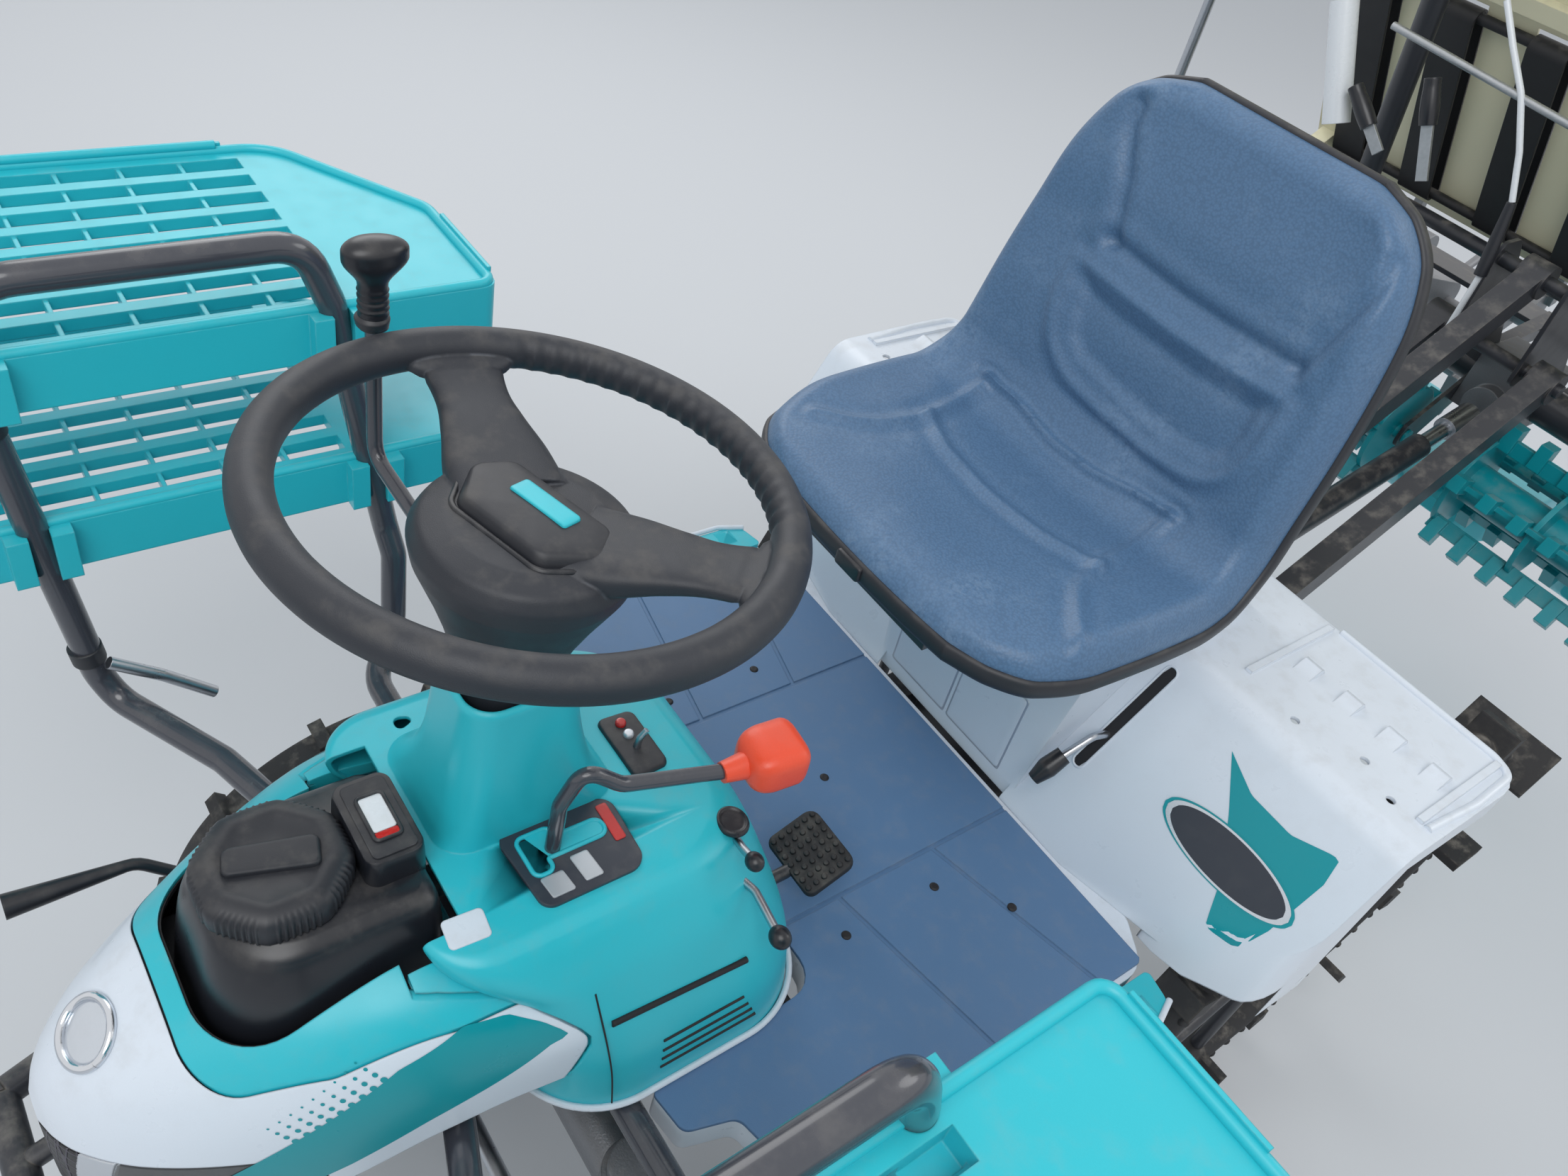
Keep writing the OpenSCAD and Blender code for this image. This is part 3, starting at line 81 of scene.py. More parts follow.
def at(x, y, z):
    """A place in metres in the row frame, from millimetres on the machine."""
    return Vector((x / 1000, (y - MID_Y) / 1000, z / 1000))


def lerp(a, b, t):
    return a + (b - a) * t


def smoothstep(a, b, x):
    t = np.clip((x - a) / (b - a), 0, 1)
    return t * t * (3 - 2 * t)


# Colours

def srgb(r, g, b):
    """A colour written in screen values from 0 to 255."""
    def linear(c):
        c /= 255
        return c / 12.92 if c <= 0.04045 else ((c + 0.055) / 1.055) ** 2.4
    return (linear(r), linear(g), linear(b), 1.0)


# Shader groups

def new_group(name, inputs, outputs):
    """An empty shader group with named sockets: {name: (kind, default)}."""
    tree = bpy.data.node_groups.new(name, "ShaderNodeTree")
    for label, (kind, value) in inputs.items():
        socket = tree.interface.new_socket(label, in_out="INPUT", socket_type="NodeSocket" + kind)
        socket.default_value = value
    for label, kind in outputs.items():
        tree.interface.new_socket(label, in_out="OUTPUT", socket_type="NodeSocket" + kind)
    enter = tree.nodes.new("NodeGroupInput")
    leave = tree.nodes.new("NodeGroupOutput")
    return tree, enter.outputs, leave.inputs


def set_inputs(tree, node, inputs):
    """Joins or sets a node's inputs, given by name or number."""
    for key, value in inputs.items():
        socket = node.inputs[key]
        if isinstance(value, bpy.types.NodeSocket):
            tree.links.new(value, socket)
        else:
            socket.default_value = value


def add_node(tree, kind, **settings):
    """A node with its properties and its inputs."""
    node = tree.nodes.new("ShaderNode" + kind)
    inputs = settings.pop("inputs", {})
    for key, value in settings.items():
        setattr(node, key, value)
    set_inputs(tree, node, inputs)
    return node


def math_node(tree, operation, a, b=0.0, c=0.0, clamp=False):
    return add_node(tree, "Math", operation=operation, use_clamp=clamp,
                    inputs={0: a, 1: b, 2: c}).outputs[0]


def ramp(tree, value, low, high):
    """A value mapped from its range to 0 and 1, held at the ends."""
    return add_node(tree, "MapRange", interpolation_type="SMOOTHSTEP", inputs={
        "Value": value, "From Min": low, "From Max": high}).outputs[0]


def noise(tree, where, scale, detail, roughness):
    return add_node(tree, "TexNoise", inputs={
        "Vector": where, "Scale": scale, "Detail": detail, "Roughness": roughness}).outputs["Fac"]


def blend_colour(tree, factor, a, b):
    """Colour a, turned into colour b by a factor."""
    return add_node(tree, "Mix", data_type="RGBA",
                    inputs={"Factor": factor, 6: a, 7: b}).outputs[2]


def build_moulding_group():
    """Moulded, painted or cast surface: uneven colour, fine grain, scuffed edges, dust on top."""
    tree, given, result = new_group(
        "surface_finish",
        {"Colour": ("Color", (0.5, 0.5, 0.5, 1)), "Scuff colour": ("Color", (0.7, 0.7, 0.7, 1)),
         "Variation": ("Float", 0.08), "Grain size": ("Float", 0.0012),
         "Edge width": ("Float", 0.002), "Edge wear": ("Float", 0.3),
         "Dust": ("Float", 0.15), "Roughness": ("Float", 0.4),
         "Roughness spread": ("Float", 0.08)},
        {"Colour": "Color", "Roughness": "Float", "Height": "Float", "Edge": "Float",
         "Normal": "Vector"})
    where = add_node(tree, "TexCoord").outputs["Object"]
    broad = noise(tree, where, 6.0, 3.0, 0.55)
    smudge = noise(tree, where, 38.0, 4.0, 0.6)
    grain_scale = math_node(tree, "DIVIDE", 1.0, given["Grain size"])
    grain = noise(tree, where, grain_scale, 2.0, 0.5)
    # Edge mask from the turn between the face and a rounded copy of it
    geometry = add_node(tree, "NewGeometry")
    round_off = add_node(tree, "Bevel", samples=4, inputs={"Radius": given["Edge width"]})
    turn = add_node(tree, "VectorMath", operation="DOT_PRODUCT", inputs={
        0: geometry.outputs["Normal"], 1: round_off.outputs[0]}).outputs["Value"]
    edge = ramp(tree, turn, 0.995, 0.85)
    ragged = math_node(tree, "MULTIPLY", edge, ramp(tree, smudge, 0.42, 0.62))
    worn = math_node(tree, "MULTIPLY", ragged, given["Edge wear"], clamp=True)
    # Colour: lighter and darker fields, then scuffs, then dust on faces that look up
    shade = math_node(tree, "MULTIPLY_ADD", math_node(tree, "SUBTRACT", broad, 0.5),
                      given["Variation"], 1.0)
    shade = math_node(tree, "MULTIPLY_ADD", math_node(tree, "SUBTRACT", grain, 0.5),
                      math_node(tree, "MULTIPLY", given["Variation"], 0.8), shade)
    varied = add_node(tree, "VectorMath", operation="SCALE",
                      inputs={0: given["Colour"], "Scale": shade}).outputs[0]
    scuffed = blend_colour(tree, worn, varied, given["Scuff colour"])
    facing = add_node(tree, "SeparateXYZ", inputs={0: geometry.outputs["Normal"]}).outputs["Z"]
    lying = math_node(tree, "MULTIPLY", ramp(tree, facing, 0.2, 0.95),
                      ramp(tree, smudge, 0.45, 0.75))
    dusty = math_node(tree, "MULTIPLY", lying, given["Dust"], clamp=True)
    tree.links.new(blend_colour(tree, dusty, scuffed, (0.36, 0.33, 0.29, 1)), result["Colour"])
    spread = math_node(tree, "MULTIPLY_ADD", math_node(tree, "SUBTRACT", smudge, 0.5),
                       math_node(tree, "MULTIPLY", given["Roughness spread"], 2.0),
                       given["Roughness"])
    spread = math_node(tree, "ADD", spread, math_node(tree, "MULTIPLY", worn, 0.25))
    spread = math_node(tree, "ADD", spread, math_node(tree, "MULTIPLY", dusty, 0.5), clamp=True)
    tree.links.new(spread, result["Roughness"])
    tree.links.new(grain, result["Height"])
    tree.links.new(worn, result["Edge"])
    tree.links.new(round_off.outputs[0], result["Normal"])
    return tree


def build_hide_group():
    """Pebbled vinyl of the seat: small cells darker in their hollows as painted shade, creases, and
    high spots paler from rubbing wear and painted highlight.
    """
    tree, given, result = new_group(
        "vinyl_hide",
        {"Colour": ("Color", (0.1, 0.1, 0.1, 1)), "Rubbed and sheen colour": ("Color", (0.3, 0.3, 0.3, 1)),
         "Cell size": ("Float", 0.0016)},
        {"Colour": "Color", "Roughness": "Float", "Height": "Float"})
    where = add_node(tree, "TexCoord").outputs["Object"]
    scale = math_node(tree, "DIVIDE", 1.0, given["Cell size"])
    cells = add_node(tree, "TexVoronoi", feature="SMOOTH_F1", inputs={
        "Vector": where, "Scale": scale, "Randomness": 1.0, "Smoothness": 0.3}).outputs["Distance"]
    creases = noise(tree, where, 160.0, 5.0, 0.65)
    broad = noise(tree, where, 7.0, 4.0, 0.6)
    # Paler patches on the high places of the creases: rubbing wear and painted highlight
    rubbed_and_sheen = math_node(tree, "MULTIPLY", ramp(tree, broad, 0.5, 0.75),
                       ramp(tree, creases, 0.35, 0.6))
    rubbed_and_sheen = math_node(tree, "MULTIPLY", rubbed_and_sheen, 0.35)
    # Darker in the hollows between the pebbles, where the bump sinks: painted shade
    dark = blend_colour(tree, ramp(tree, cells, 0.25, 0.75), given["Colour"],
                        (0.0, 0.0, 0.0, 1))
    body = blend_colour(tree, 0.16, given["Colour"], dark)
    tree.links.new(blend_colour(tree, rubbed_and_sheen, body, given["Rubbed and sheen colour"]), result["Colour"])
    rough = math_node(tree, "MULTIPLY_ADD", creases, 0.16, 0.34)
    rough = math_node(tree, "MULTIPLY_ADD", rubbed_and_sheen, 0.3, rough, clamp=True)
    tree.links.new(rough, result["Roughness"])
    height = math_node(tree, "MULTIPLY_ADD", creases, 0.5,
                       math_node(tree, "MULTIPLY", cells, -0.8))
    tree.links.new(height, result["Height"])
    return tree


SURFACE_GROUP = build_moulding_group()
HIDE_GROUP = build_hide_group()


def blank_material(name):
    material = bpy.data.materials.new(name)
    material.use_nodes = True
    tree = material.node_tree
    tree.nodes.clear()
    shader = tree.nodes.new("ShaderNodeBsdfPrincipled")
    out = tree.nodes.new("ShaderNodeOutputMaterial")
    tree.links.new(shader.outputs[0], out.inputs["Surface"])
    return material, tree, shader


def finish(name, colour, rough=0.4, spread=0.08, metal=0.0, coat=0.0, coat_rough=0.1,
           grain=0.0012, bump=0.15, depth=0.0002, vary=0.1, edge=0.002, wear=0.3,
           scuff=None, dust=0.12):
    """A moulded, painted, cast or plated finish, with its grain, wear and dust."""
    material, tree, shader = blank_material(name)
    base = srgb(*colour)
    pale = srgb(*scuff) if scuff else tuple(min(1, c * 1.5 + 0.04) for c in base[:3]) + (1,)
    group = add_node(tree, "Group", node_tree=SURFACE_GROUP, inputs={
        "Colour": base, "Scuff colour": pale, "Variation": vary, "Grain size": grain,
        "Edge width": edge, "Edge wear": wear, "Dust": dust, "Roughness": rough,
        "Roughness spread": spread})
    bumped = add_node(tree, "Bump", inputs={
        "Strength": bump, "Distance": depth, "Height": group.outputs["Height"],
        "Normal": group.outputs["Normal"]})
    set_inputs(tree, shader, {
        "Base Color": group.outputs["Colour"], "Roughness": group.outputs["Roughness"],
        "Normal": bumped.outputs[0], "Metallic": metal, "Coat Weight": coat,
        "Coat Roughness": coat_rough})
    return material


# Finishes

TEAL = finish("teal_moulding", (44, 190, 204), rough=0.36, coat=0.12, coat_rough=0.25,
              grain=0.0009, bump=0.12, vary=0.09, wear=0.35, scuff=(150, 225, 235), dust=0.1)
# Teal of the decals, darkened to the shaded colour of the teal moulding: painted shade on real
# print
TEAL_DECAL_SHADED = finish("teal_decal_painted_shade", (0, 150, 160), rough=0.3, grain=0.0009, bump=0.05, vary=0.06,
                   wear=0.1, dust=0.05)
WHITE = finish("white_moulding", (222, 229, 238), rough=0.3, coat=0.2, coat_rough=0.2,
               grain=0.0011, bump=0.07, vary=0.05, wear=0.12, scuff=(176, 180, 182), dust=0.16)
BLACK = finish("black_moulding", (36, 38, 44), rough=0.46, grain=0.0008, bump=0.3, vary=0.2,
               wear=0.35, scuff=(112, 114, 118))
BLACK_GLOSS = finish("black_cap", (30, 32, 38), rough=0.3, grain=0.0007, bump=0.14, vary=0.2,
                     wear=0.4, scuff=(120, 122, 126), dust=0.1)
RIM_GRIP = finish("steering_grip", (40, 43, 50), rough=0.5, spread=0.14, grain=0.0007, bump=0.5,
                  depth=0.0003, vary=0.3, edge=0.003, wear=0.5, scuff=(104, 108, 116), dust=0.14)
TUBE = finish("tube_paint", (62, 64, 72), rough=0.24, coat=0.5, coat_rough=0.08, grain=0.0016,
              bump=0.05, vary=0.12, edge=0.001, wear=0.4, scuff=(150, 150, 152), dust=0.1)
FRAME = finish("frame_paint", (44, 46, 52), coat=0.2, coat_rough=0.2, grain=0.002, bump=0.12,
               vary=0.18, wear=0.5, scuff=(128, 118, 106), dust=0.35)
CASTING = finish("cast_alloy", (138, 140, 144), rough=0.5, metal=0.75, grain=0.0018, bump=0.5,
                 depth=0.0005, vary=0.24, edge=0.003, wear=0.5, scuff=(196, 198, 200), dust=0.4)
ENGINE = finish("engine_paint", (58, 60, 64), rough=0.5, metal=0.2, grain=0.002, bump=0.4,
                depth=0.0004, vary=0.25, wear=0.4, scuff=(150, 150, 150), dust=0.35)
ZINC = finish("zinc_plate", (186, 190, 196), rough=0.3, spread=0.12, metal=1.0, grain=0.0035,
              bump=0.08, vary=0.16, edge=0.001, scuff=(225, 226, 228))
RUBBER = finish("tyre_rubber", (38, 38, 40), rough=0.72, spread=0.12, bump=0.4, depth=0.0003,
                vary=0.35, edge=0.004, wear=0.5, scuff=(92, 86, 78), dust=0.5)
BELT = finish("belt_rubber", (30, 31, 34), rough=0.6, grain=0.001, bump=0.35, depth=0.0003,
              vary=0.3, wear=0.35, scuff=(96, 94, 90), dust=0.25)
MAT = finish("floor_rubber", (88, 122, 160), rough=0.5, spread=0.1, grain=0.0011, bump=0.4,
             depth=0.0003, vary=0.08, scuff=(150, 168, 192), dust=0.1)
ROTOR = finish("rotor_moulding", (0, 142, 154), rough=0.34, bump=0.12, vary=0.14, wear=0.35,
               scuff=(90, 196, 204), dust=0.25)
CREAM = finish("platform_moulding", (238, 232, 200), rough=0.42, bump=0.1, vary=0.06, wear=0.25,
               scuff=(200, 190, 160), dust=0.22)
WHITE_PAINT = finish("white_steel", (226, 230, 234), rough=0.28, coat=0.3, coat_rough=0.12,
                     grain=0.002, bump=0.05, vary=0.06, wear=0.35, scuff=(150, 140, 128), dust=0.2)
RED_KNOB = finish("lever_knob", (244, 84, 52), rough=0.36, coat=0.1, coat_rough=0.3, bump=0.35,
                  depth=0.0004, vary=0.12, scuff=(250, 160, 130), dust=0.05)
CHROME = finish("bright_trim", (214, 218, 224), rough=0.12, metal=1.0, grain=0.002, bump=0.02,
                vary=0.05, edge=0.0008, wear=0.1, dust=0.05)
SATIN_PLATE = finish("gate_plate", (202, 206, 212), rough=0.32, metal=0.6, grain=0.0006, bump=0.06,
                     wear=0.2, dust=0.05)
LABEL_DARK = finish("dark_plate", (52, 56, 66), rough=0.34, grain=0.0008, bump=0.06, wear=0.15,
                    dust=0.1)
BADGE_SILVER = finish("badge_rim", (206, 212, 220), rough=0.2, metal=0.8, grain=0.001, bump=0.03,
                      vary=0.06, wear=0.1, dust=0.05)


def hide_material():
    """Dark blue-grey vinyl, paler on the high places from rubbing wear and painted highlight."""
    material, tree, shader = blank_material("seat_vinyl")
    group = add_node(tree, "Group", node_tree=HIDE_GROUP, inputs={
        "Colour": srgb(84, 116, 150), "Rubbed and sheen colour": srgb(140, 164, 190), "Cell size": 0.0026})
    bumped = add_node(tree, "Bump", inputs={
        "Strength": 0.55, "Distance": 0.0005, "Height": group.outputs["Height"]})
    set_inputs(tree, shader, {
        "Base Color": group.outputs["Colour"], "Roughness": group.outputs["Roughness"],
        "Normal": bumped.outputs[0], "Specular IOR Level": 0.45})
    return material


HIDE = hide_material()


def lens_material():
    """Clear lamp lens, a little milky, over the chrome behind it."""
    material, tree, shader = blank_material("lamp_lens")
    group = add_node(tree, "Group", node_tree=SURFACE_GROUP, inputs={
        "Colour": (0.93, 0.96, 0.98, 1), "Variation": 0.03, "Edge wear": 0.1, "Dust": 0.06,
        "Roughness": 0.05, "Roughness spread": 0.03})
    set_inputs(tree, shader, {
        "Base Color": group.outputs["Colour"], "Roughness": group.outputs["Roughness"],
        "Transmission Weight": 0.92, "IOR": 1.45})
    return material


LENS = lens_material()


def honeycomb_material():
    """Dark grille plastic with a fine honeycomb pressed into it, its cell hollows painted
    near-black as painted shade.
    """
    material, tree, shader = blank_material("grille_honeycomb")
    group = add_node(tree, "Group", node_tree=SURFACE_GROUP, inputs={
        "Colour": srgb(58, 54, 66), "Variation": 0.15, "Edge wear": 0.25, "Dust": 0.08,
        "Roughness": 0.4, "Roughness spread": 0.1})
    where = add_node(tree, "TexCoord").outputs["Object"]
    cells = add_node(tree, "TexVoronoi", feature="DISTANCE_TO_EDGE", inputs={
        "Vector": where, "Scale": 105.0, "Randomness": 0.12}).outputs["Distance"]
    # Mask of the cell hollows, away from their walls: painted near-black as painted shade, and sunk
    # by the bump
    wall = ramp(tree, cells, 0.04, 0.14)
    colour = blend_colour(tree, wall, group.outputs["Colour"], srgb(14, 13, 17))
    bumped = add_node(tree, "Bump", invert=True, inputs={
        "Strength": 0.9, "Distance": 0.003, "Height": wall, "Normal": group.outputs["Normal"]})
    set_inputs(tree, shader, {"Base Color": colour, "Roughness": group.outputs["Roughness"],
                              "Normal": bumped.outputs[0]})
    return material


HONEYCOMB = honeycomb_material()
# Near-black: painted shade in the bonnet's gaps, in the slots and grooves, and under the bonnet;
# also the own colour of the mat screws
DARK_SHADE_AND_SCREWS = finish("painted_shade_and_screw_dark", (22, 21, 26), rough=0.6, grain=0.001, bump=0.1, wear=0.0, dust=0.05)
REFLECTOR = finish("red_reflector", (196, 26, 22), rough=0.16, coat=0.6, coat_rough=0.05,
                   grain=0.0025, bump=0.3, depth=0.0005, wear=0.1, dust=0.05)
GALVANISED = finish("galvanised", (176, 180, 184), rough=0.42, spread=0.14, metal=0.9, grain=0.006,
                    bump=0.08, vary=0.34, edge=0.001, wear=0.2, scuff=(214, 214, 214), dust=0.15)

# Finish of each material slot of the part
CAD_FINISH = {
    "frame_paint": FRAME, "casting": CASTING, "engine": ENGINE, "white": WHITE, "teal": TEAL,
    "black_plastic": BLACK, "lens": WHITE, "mat": MAT, "seat": BLACK, "tube_paint": TUBE,
    "zinc": ZINC, "tyre": RUBBER, "rotor": ROTOR, "cream": CREAM, "belt": BELT}


def dress_frame():
    """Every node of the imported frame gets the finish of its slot."""
    slots = {part["node"]: part["material_slot"] for part in frame["record"]["subparts"]}
    for name, obj in NODES.items():
        obj.data.materials.clear()
        obj.data.materials.append(CAD_FINISH[slots[name]])


# Floor, light and camera

def build_studio():
    """A plain pale floor under soft lamps, and a white world that also shows in gloss."""
    world = bpy.data.worlds.new("studio_world")
    bpy.context.scene.world = world
    world.use_nodes = True
    tree = world.node_tree
    tree.nodes.clear()
    path = tree.nodes.new("ShaderNodeLightPath")
    seen = math_node(tree, "ADD", path.outputs["Is Camera Ray"], path.outputs["Is Glossy Ray"])
    seen = math_node(tree, "ADD", seen, path.outputs["Is Transmission Ray"], clamp=True)
    light = add_node(tree, "Background", inputs={"Color": (0.9, 0.95, 1.0, 1), "Strength": 0.62})
    backdrop = add_node(tree, "Background", inputs={"Color": (1, 1, 1, 1), "Strength": 0.9})
    mix = add_node(tree, "MixShader", inputs={0: seen, 1: light.outputs[0],
                                              2: backdrop.outputs[0]})
    out = tree.nodes.new("ShaderNodeOutputWorld")
    tree.links.new(mix.outputs[0], out.inputs["Surface"])

    material, tree, shader = blank_material("studio_floor")
    set_inputs(tree, shader, {"Base Color": srgb(206, 208, 211), "Roughness": 0.85})
    mesh = bpy.data.meshes.new("studio_floor")
    half = 14.0
    mesh.from_pydata([(-half, -half, 0), (half, -half, 0), (half, half, 0), (-half, half, 0)],
                     [], [(0, 1, 2, 3)])
    floor = bpy.data.objects.new("studio_floor", mesh)
    bpy.context.scene.collection.objects.link(floor)
    mesh.materials.append(material)

    for name, place, size, power in (("key_lamp", (1.8, -2.6, 4.4), 3.2, 95),
                                     ("side_lamp", (-3.6, 0.4, 3.4), 3.0, 48),
                                     ("rear_lamp", (1.5, 4.0, 3.6), 3.0, 52)):
        lamp = bpy.data.lights.new(name, "AREA")
        lamp.shape = "DISK"
        lamp.size = size
        lamp.energy = power
        holder = bpy.data.objects.new(name, lamp)
        bpy.context.scene.collection.objects.link(holder)
        holder.location = place
        holder.rotation_euler = (Vector((0, 0, 0.7)) - Vector(place)).to_track_quat(
            "-Z", "Y").to_euler()


def build_camera():
    """The photograph's viewpoint: above and ahead of the left front wheel."""
    azimuth, height, roll = (math.radians(v) for v in (43.96, 41.51, 15.63))
    look = Vector((-math.sin(azimuth) * math.cos(height),
                   math.cos(azimuth) * math.cos(height), -math.sin(height)))
    right = look.cross(Vector((0, 0, 1))).normalized()
    up = right.cross(look)
    turned = right * math.cos(roll) + up * math.sin(roll)
    upright = up * math.cos(roll) - right * math.sin(roll)
    lens = bpy.data.cameras.new("photo_camera")
    lens.lens = 28.08
    lens.sensor_width = 36.0
    lens.clip_start = 0.02
    camera = bpy.data.objects.new("photo_camera", lens)
    bpy.context.scene.collection.objects.link(camera)
    matrix = Matrix((turned, upright, -look)).transposed().to_4x4()
    matrix.translation = Vector((0.548, -1.209, 1.6255))
    camera.matrix_world = matrix
    bpy.context.scene.camera = camera


# Mesh helpers

SIDES = ((-1, "right"), (1, "left"))
# Edges that turn more than this many degrees stay sharp
SHARP = 38.0


def unit(way):
    """A direction at length one."""
    return way / np.linalg.norm(way)


def square_to(way):
    """Two directions square to a unit one: a level one, and one upwards."""
    across = unit(np.cross(way, (0, 0, 1)))
    return across, np.cross(across, way)


def circle(count):
    """Cosine and sine of evenly spaced turns."""
    return [(math.cos(TAU * k / count), math.sin(TAU * k / count)) for k in range(count)]


def bulged(value, power):
    """A signed power, which squares off a circle."""
    return math.copysign(abs(value) ** power, value)


def level(x, y, z):
    """A place as it is, for forms that lie flat."""
    return (x, y, z)


def side_view(y, z, x):
    """A place of a form that is drawn in side view."""
    return (x, y, z)


def shade_smooth(work, sharp):
    for face in work.faces:
        face.smooth = True
    limit = math.radians(sharp)
    for edge in work.edges:
        edge.smooth = len(edge.link_faces) != 2 or edge.calc_face_angle(0.0) < limit


def piece(name, points, faces, material, node, sharp=SHARP):
    """A mesh from points in millimetres that moves with the body of a CAD node."""
    mesh = bpy.data.meshes.new(name)
    mesh.from_pydata([at(*p) for p in points], [], [tuple(f) for f in faces])
    mesh.materials.append(material)
    return settle(name, mesh, node, sharp)


def settle(name, mesh, node, sharp):
    """Puts a mesh in the scene, with outward faces, smooth below an angle."""
    work = bmesh.new()
    work.from_mesh(mesh)
    bmesh.ops.remove_doubles(work, verts=work.verts, dist=2e-6)
    bmesh.ops.recalc_face_normals(work, faces=work.faces)
    shade_smooth(work, sharp)
    work.to_mesh(mesh)
    work.free()
    obj = bpy.data.objects.new(name, mesh)
    bpy.context.scene.collection.objects.link(obj)
    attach(obj, body_of(NODES[node])[0])
    return obj


def smooth_copy(node, sharp=34.0):
    """A CAD node's own shape with its curves shaded smooth, in place of the faceted one."""
    mesh = NODES[node].data.copy()
    mesh.transform(NODES[node].matrix_world)
    obj = settle(node + "_smooth", mesh, node, sharp)
    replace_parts(obj, node)
    return obj


def fillet(corners, steps=6):
    """A closed outline from corners [x, y, radius], each rounded by its own arc."""
    out = []
    count = len(corners)
    for i in range(count):
        x, y, radius = corners[i]
        here = np.array([x, y], float)
        if radius == 0:
            out.append((x, y))
            continue
        before = unit(np.array(corners[i - 1][:2], float) - here)
        after = unit(np.array(corners[(i + 1) % count][:2], float) - here)
        half = math.acos(np.clip(before @ after, -1, 1)) / 2
        middle = here + unit(before + after) * radius / math.sin(half)
        start = here + before * radius / math.tan(half) - middle
        end = here + after * radius / math.tan(half) - middle
        turn = math.copysign(math.pi - 2 * half, start[0] * end[1] - start[1] * end[0])
        for k in range(steps + 1):
            c, s = math.cos(turn * k / steps), math.sin(turn * k / steps)
            out.append((middle[0] + start[0] * c - start[1] * s,
                        middle[1] + start[0] * s + start[1] * c))
    return out


def slab(outline, low, high, holes=(), place=level):
    """Points and faces of a flat plate with holes, laid by place(x, y, height)."""
    loops = [list(outline)] + [list(h) for h in holes]
    flat = [Vector((p[0], p[1], 0)) for loop in loops for p in loop]
    caps = tessellate_polygon([[Vector((p[0], p[1], 0)) for p in loop] for loop in loops])
    count = len(flat)
    points = [place(p.x, p.y, low) for p in flat] + [place(p.x, p.y, high) for p in flat]
    faces = [tuple(t) for t in caps] + [tuple(i + count for i in t) for t in caps]
    first = 0
    for loop in loops:
        n = len(loop)
        faces += [(first + i, first + (i + 1) % n, first + (i + 1) % n + count, first + i + count)
                  for i in range(n)]
        first += n
    return points, faces


def box(x0, x1, y0, y1, low, high):
    return slab([(x0, y0), (x1, y0), (x1, y1), (x0, y1)], low, high)


def skin(rings, closed=True, capped=True):
    """Points and faces of a surface through rings that all have the same count."""
    n = len(rings[0])
    points = [tuple(p) for ring in rings for p in ring]
    span = n if closed else n - 1
    faces = [(k * n + i, k * n + (i + 1) % n, (k + 1) * n + (i + 1) % n, (k + 1) * n + i)
             for k in range(len(rings) - 1) for i in range(span)]
    if capped:
        for row in (0, len(rings) - 1):
            faces.append(tuple(row * n + i for i in range(n)))
    return points, faces


def together(*parts):
    """Several (points, faces) lists as one."""
    points, faces = [], []
    for part_points, part_faces in parts:
        shift = len(points)
        points += list(part_points)
        faces += [tuple(i + shift for i in face) for face in part_faces]
    return points, faces


def soft_path(corners, radius):
    """A line through corners with every bend rounded, as closely spaced points."""
    corners = [np.array(c, float) for c in corners]
    out = [corners[0]]
    for a, b, c in zip(corners, corners[1:], corners[2:]):
        u, w = a - b, c - b
        room = min(np.linalg.norm(u), np.linalg.norm(w)) * 0.49
        u, w = unit(u), unit(w)
        half = math.acos(np.clip(u @ w, -1, 1)) / 2
        if half > math.radians(88.5):
            out.append(b)
            continue
        cut = min(radius / math.tan(half), room)
        count = max(3, int((math.pi - 2 * half) / 0.16))
        for k in range(count + 1):
            t = k / count
            out.append((b + u * cut) * (1 - t) ** 2 + b * 2 * t * (1 - t) + (b + w * cut) * t * t)
    out.append(corners[-1])
    return out


def pipe(path, radius, sides=20, capped=True):
    """A round tube along a path; radius is one size or a function of the share of its length."""
    path = [np.array(p, float) for p in path]
    ways = [path[1] - path[0]] + [b - a for a, b in zip(path, path[2:])] + [path[-1] - path[-2]]
    ways = [unit(w) for w in ways]
    # Any direction that no tube runs along starts the first ring
    side = unit(np.cross(ways[0], (0.31, 0.17, 0.93)))
    steps = [np.linalg.norm(b - a) for a, b in zip(path, path[1:])]
    lengths = np.concatenate([[0], np.cumsum(steps)])
    rings = []
    for centre, way, run in zip(path, ways, lengths):
        side = unit(side - way * (side @ way))
        other = np.cross(way, side)
        r = radius(run / lengths[-1]) if callable(radius) else radius
        rings.append([centre + r * (side * c + other * s) for c, s in circle(sides)])
    return skin(rings, capped=capped)


def tube(name, path, radius, sides, material, node):
    """A round bar along a path, as a piece of its own."""
    return piece(name, *pipe(path, radius, sides), material, node, sharp=60)


def closed_pipe(line, radius, sides):
    """A round tube along a line that runs back to its start."""
    return pipe(list(line) + [line[0]], radius, sides, capped=False)


def spun(profile, place, sides=64):
    """A profile [radius, height] turned round the axis of place(x, y, height)."""
    return skin([[place(r * c, r * s, z) for c, s in circle(sides)] for r, z in profile])


def softened(profile, radius):
    """A flat line or outline with every bend rounded."""
    return [(p[0], p[1]) for p in soft_path([(a, b, 0) for a, b in profile], radius)]


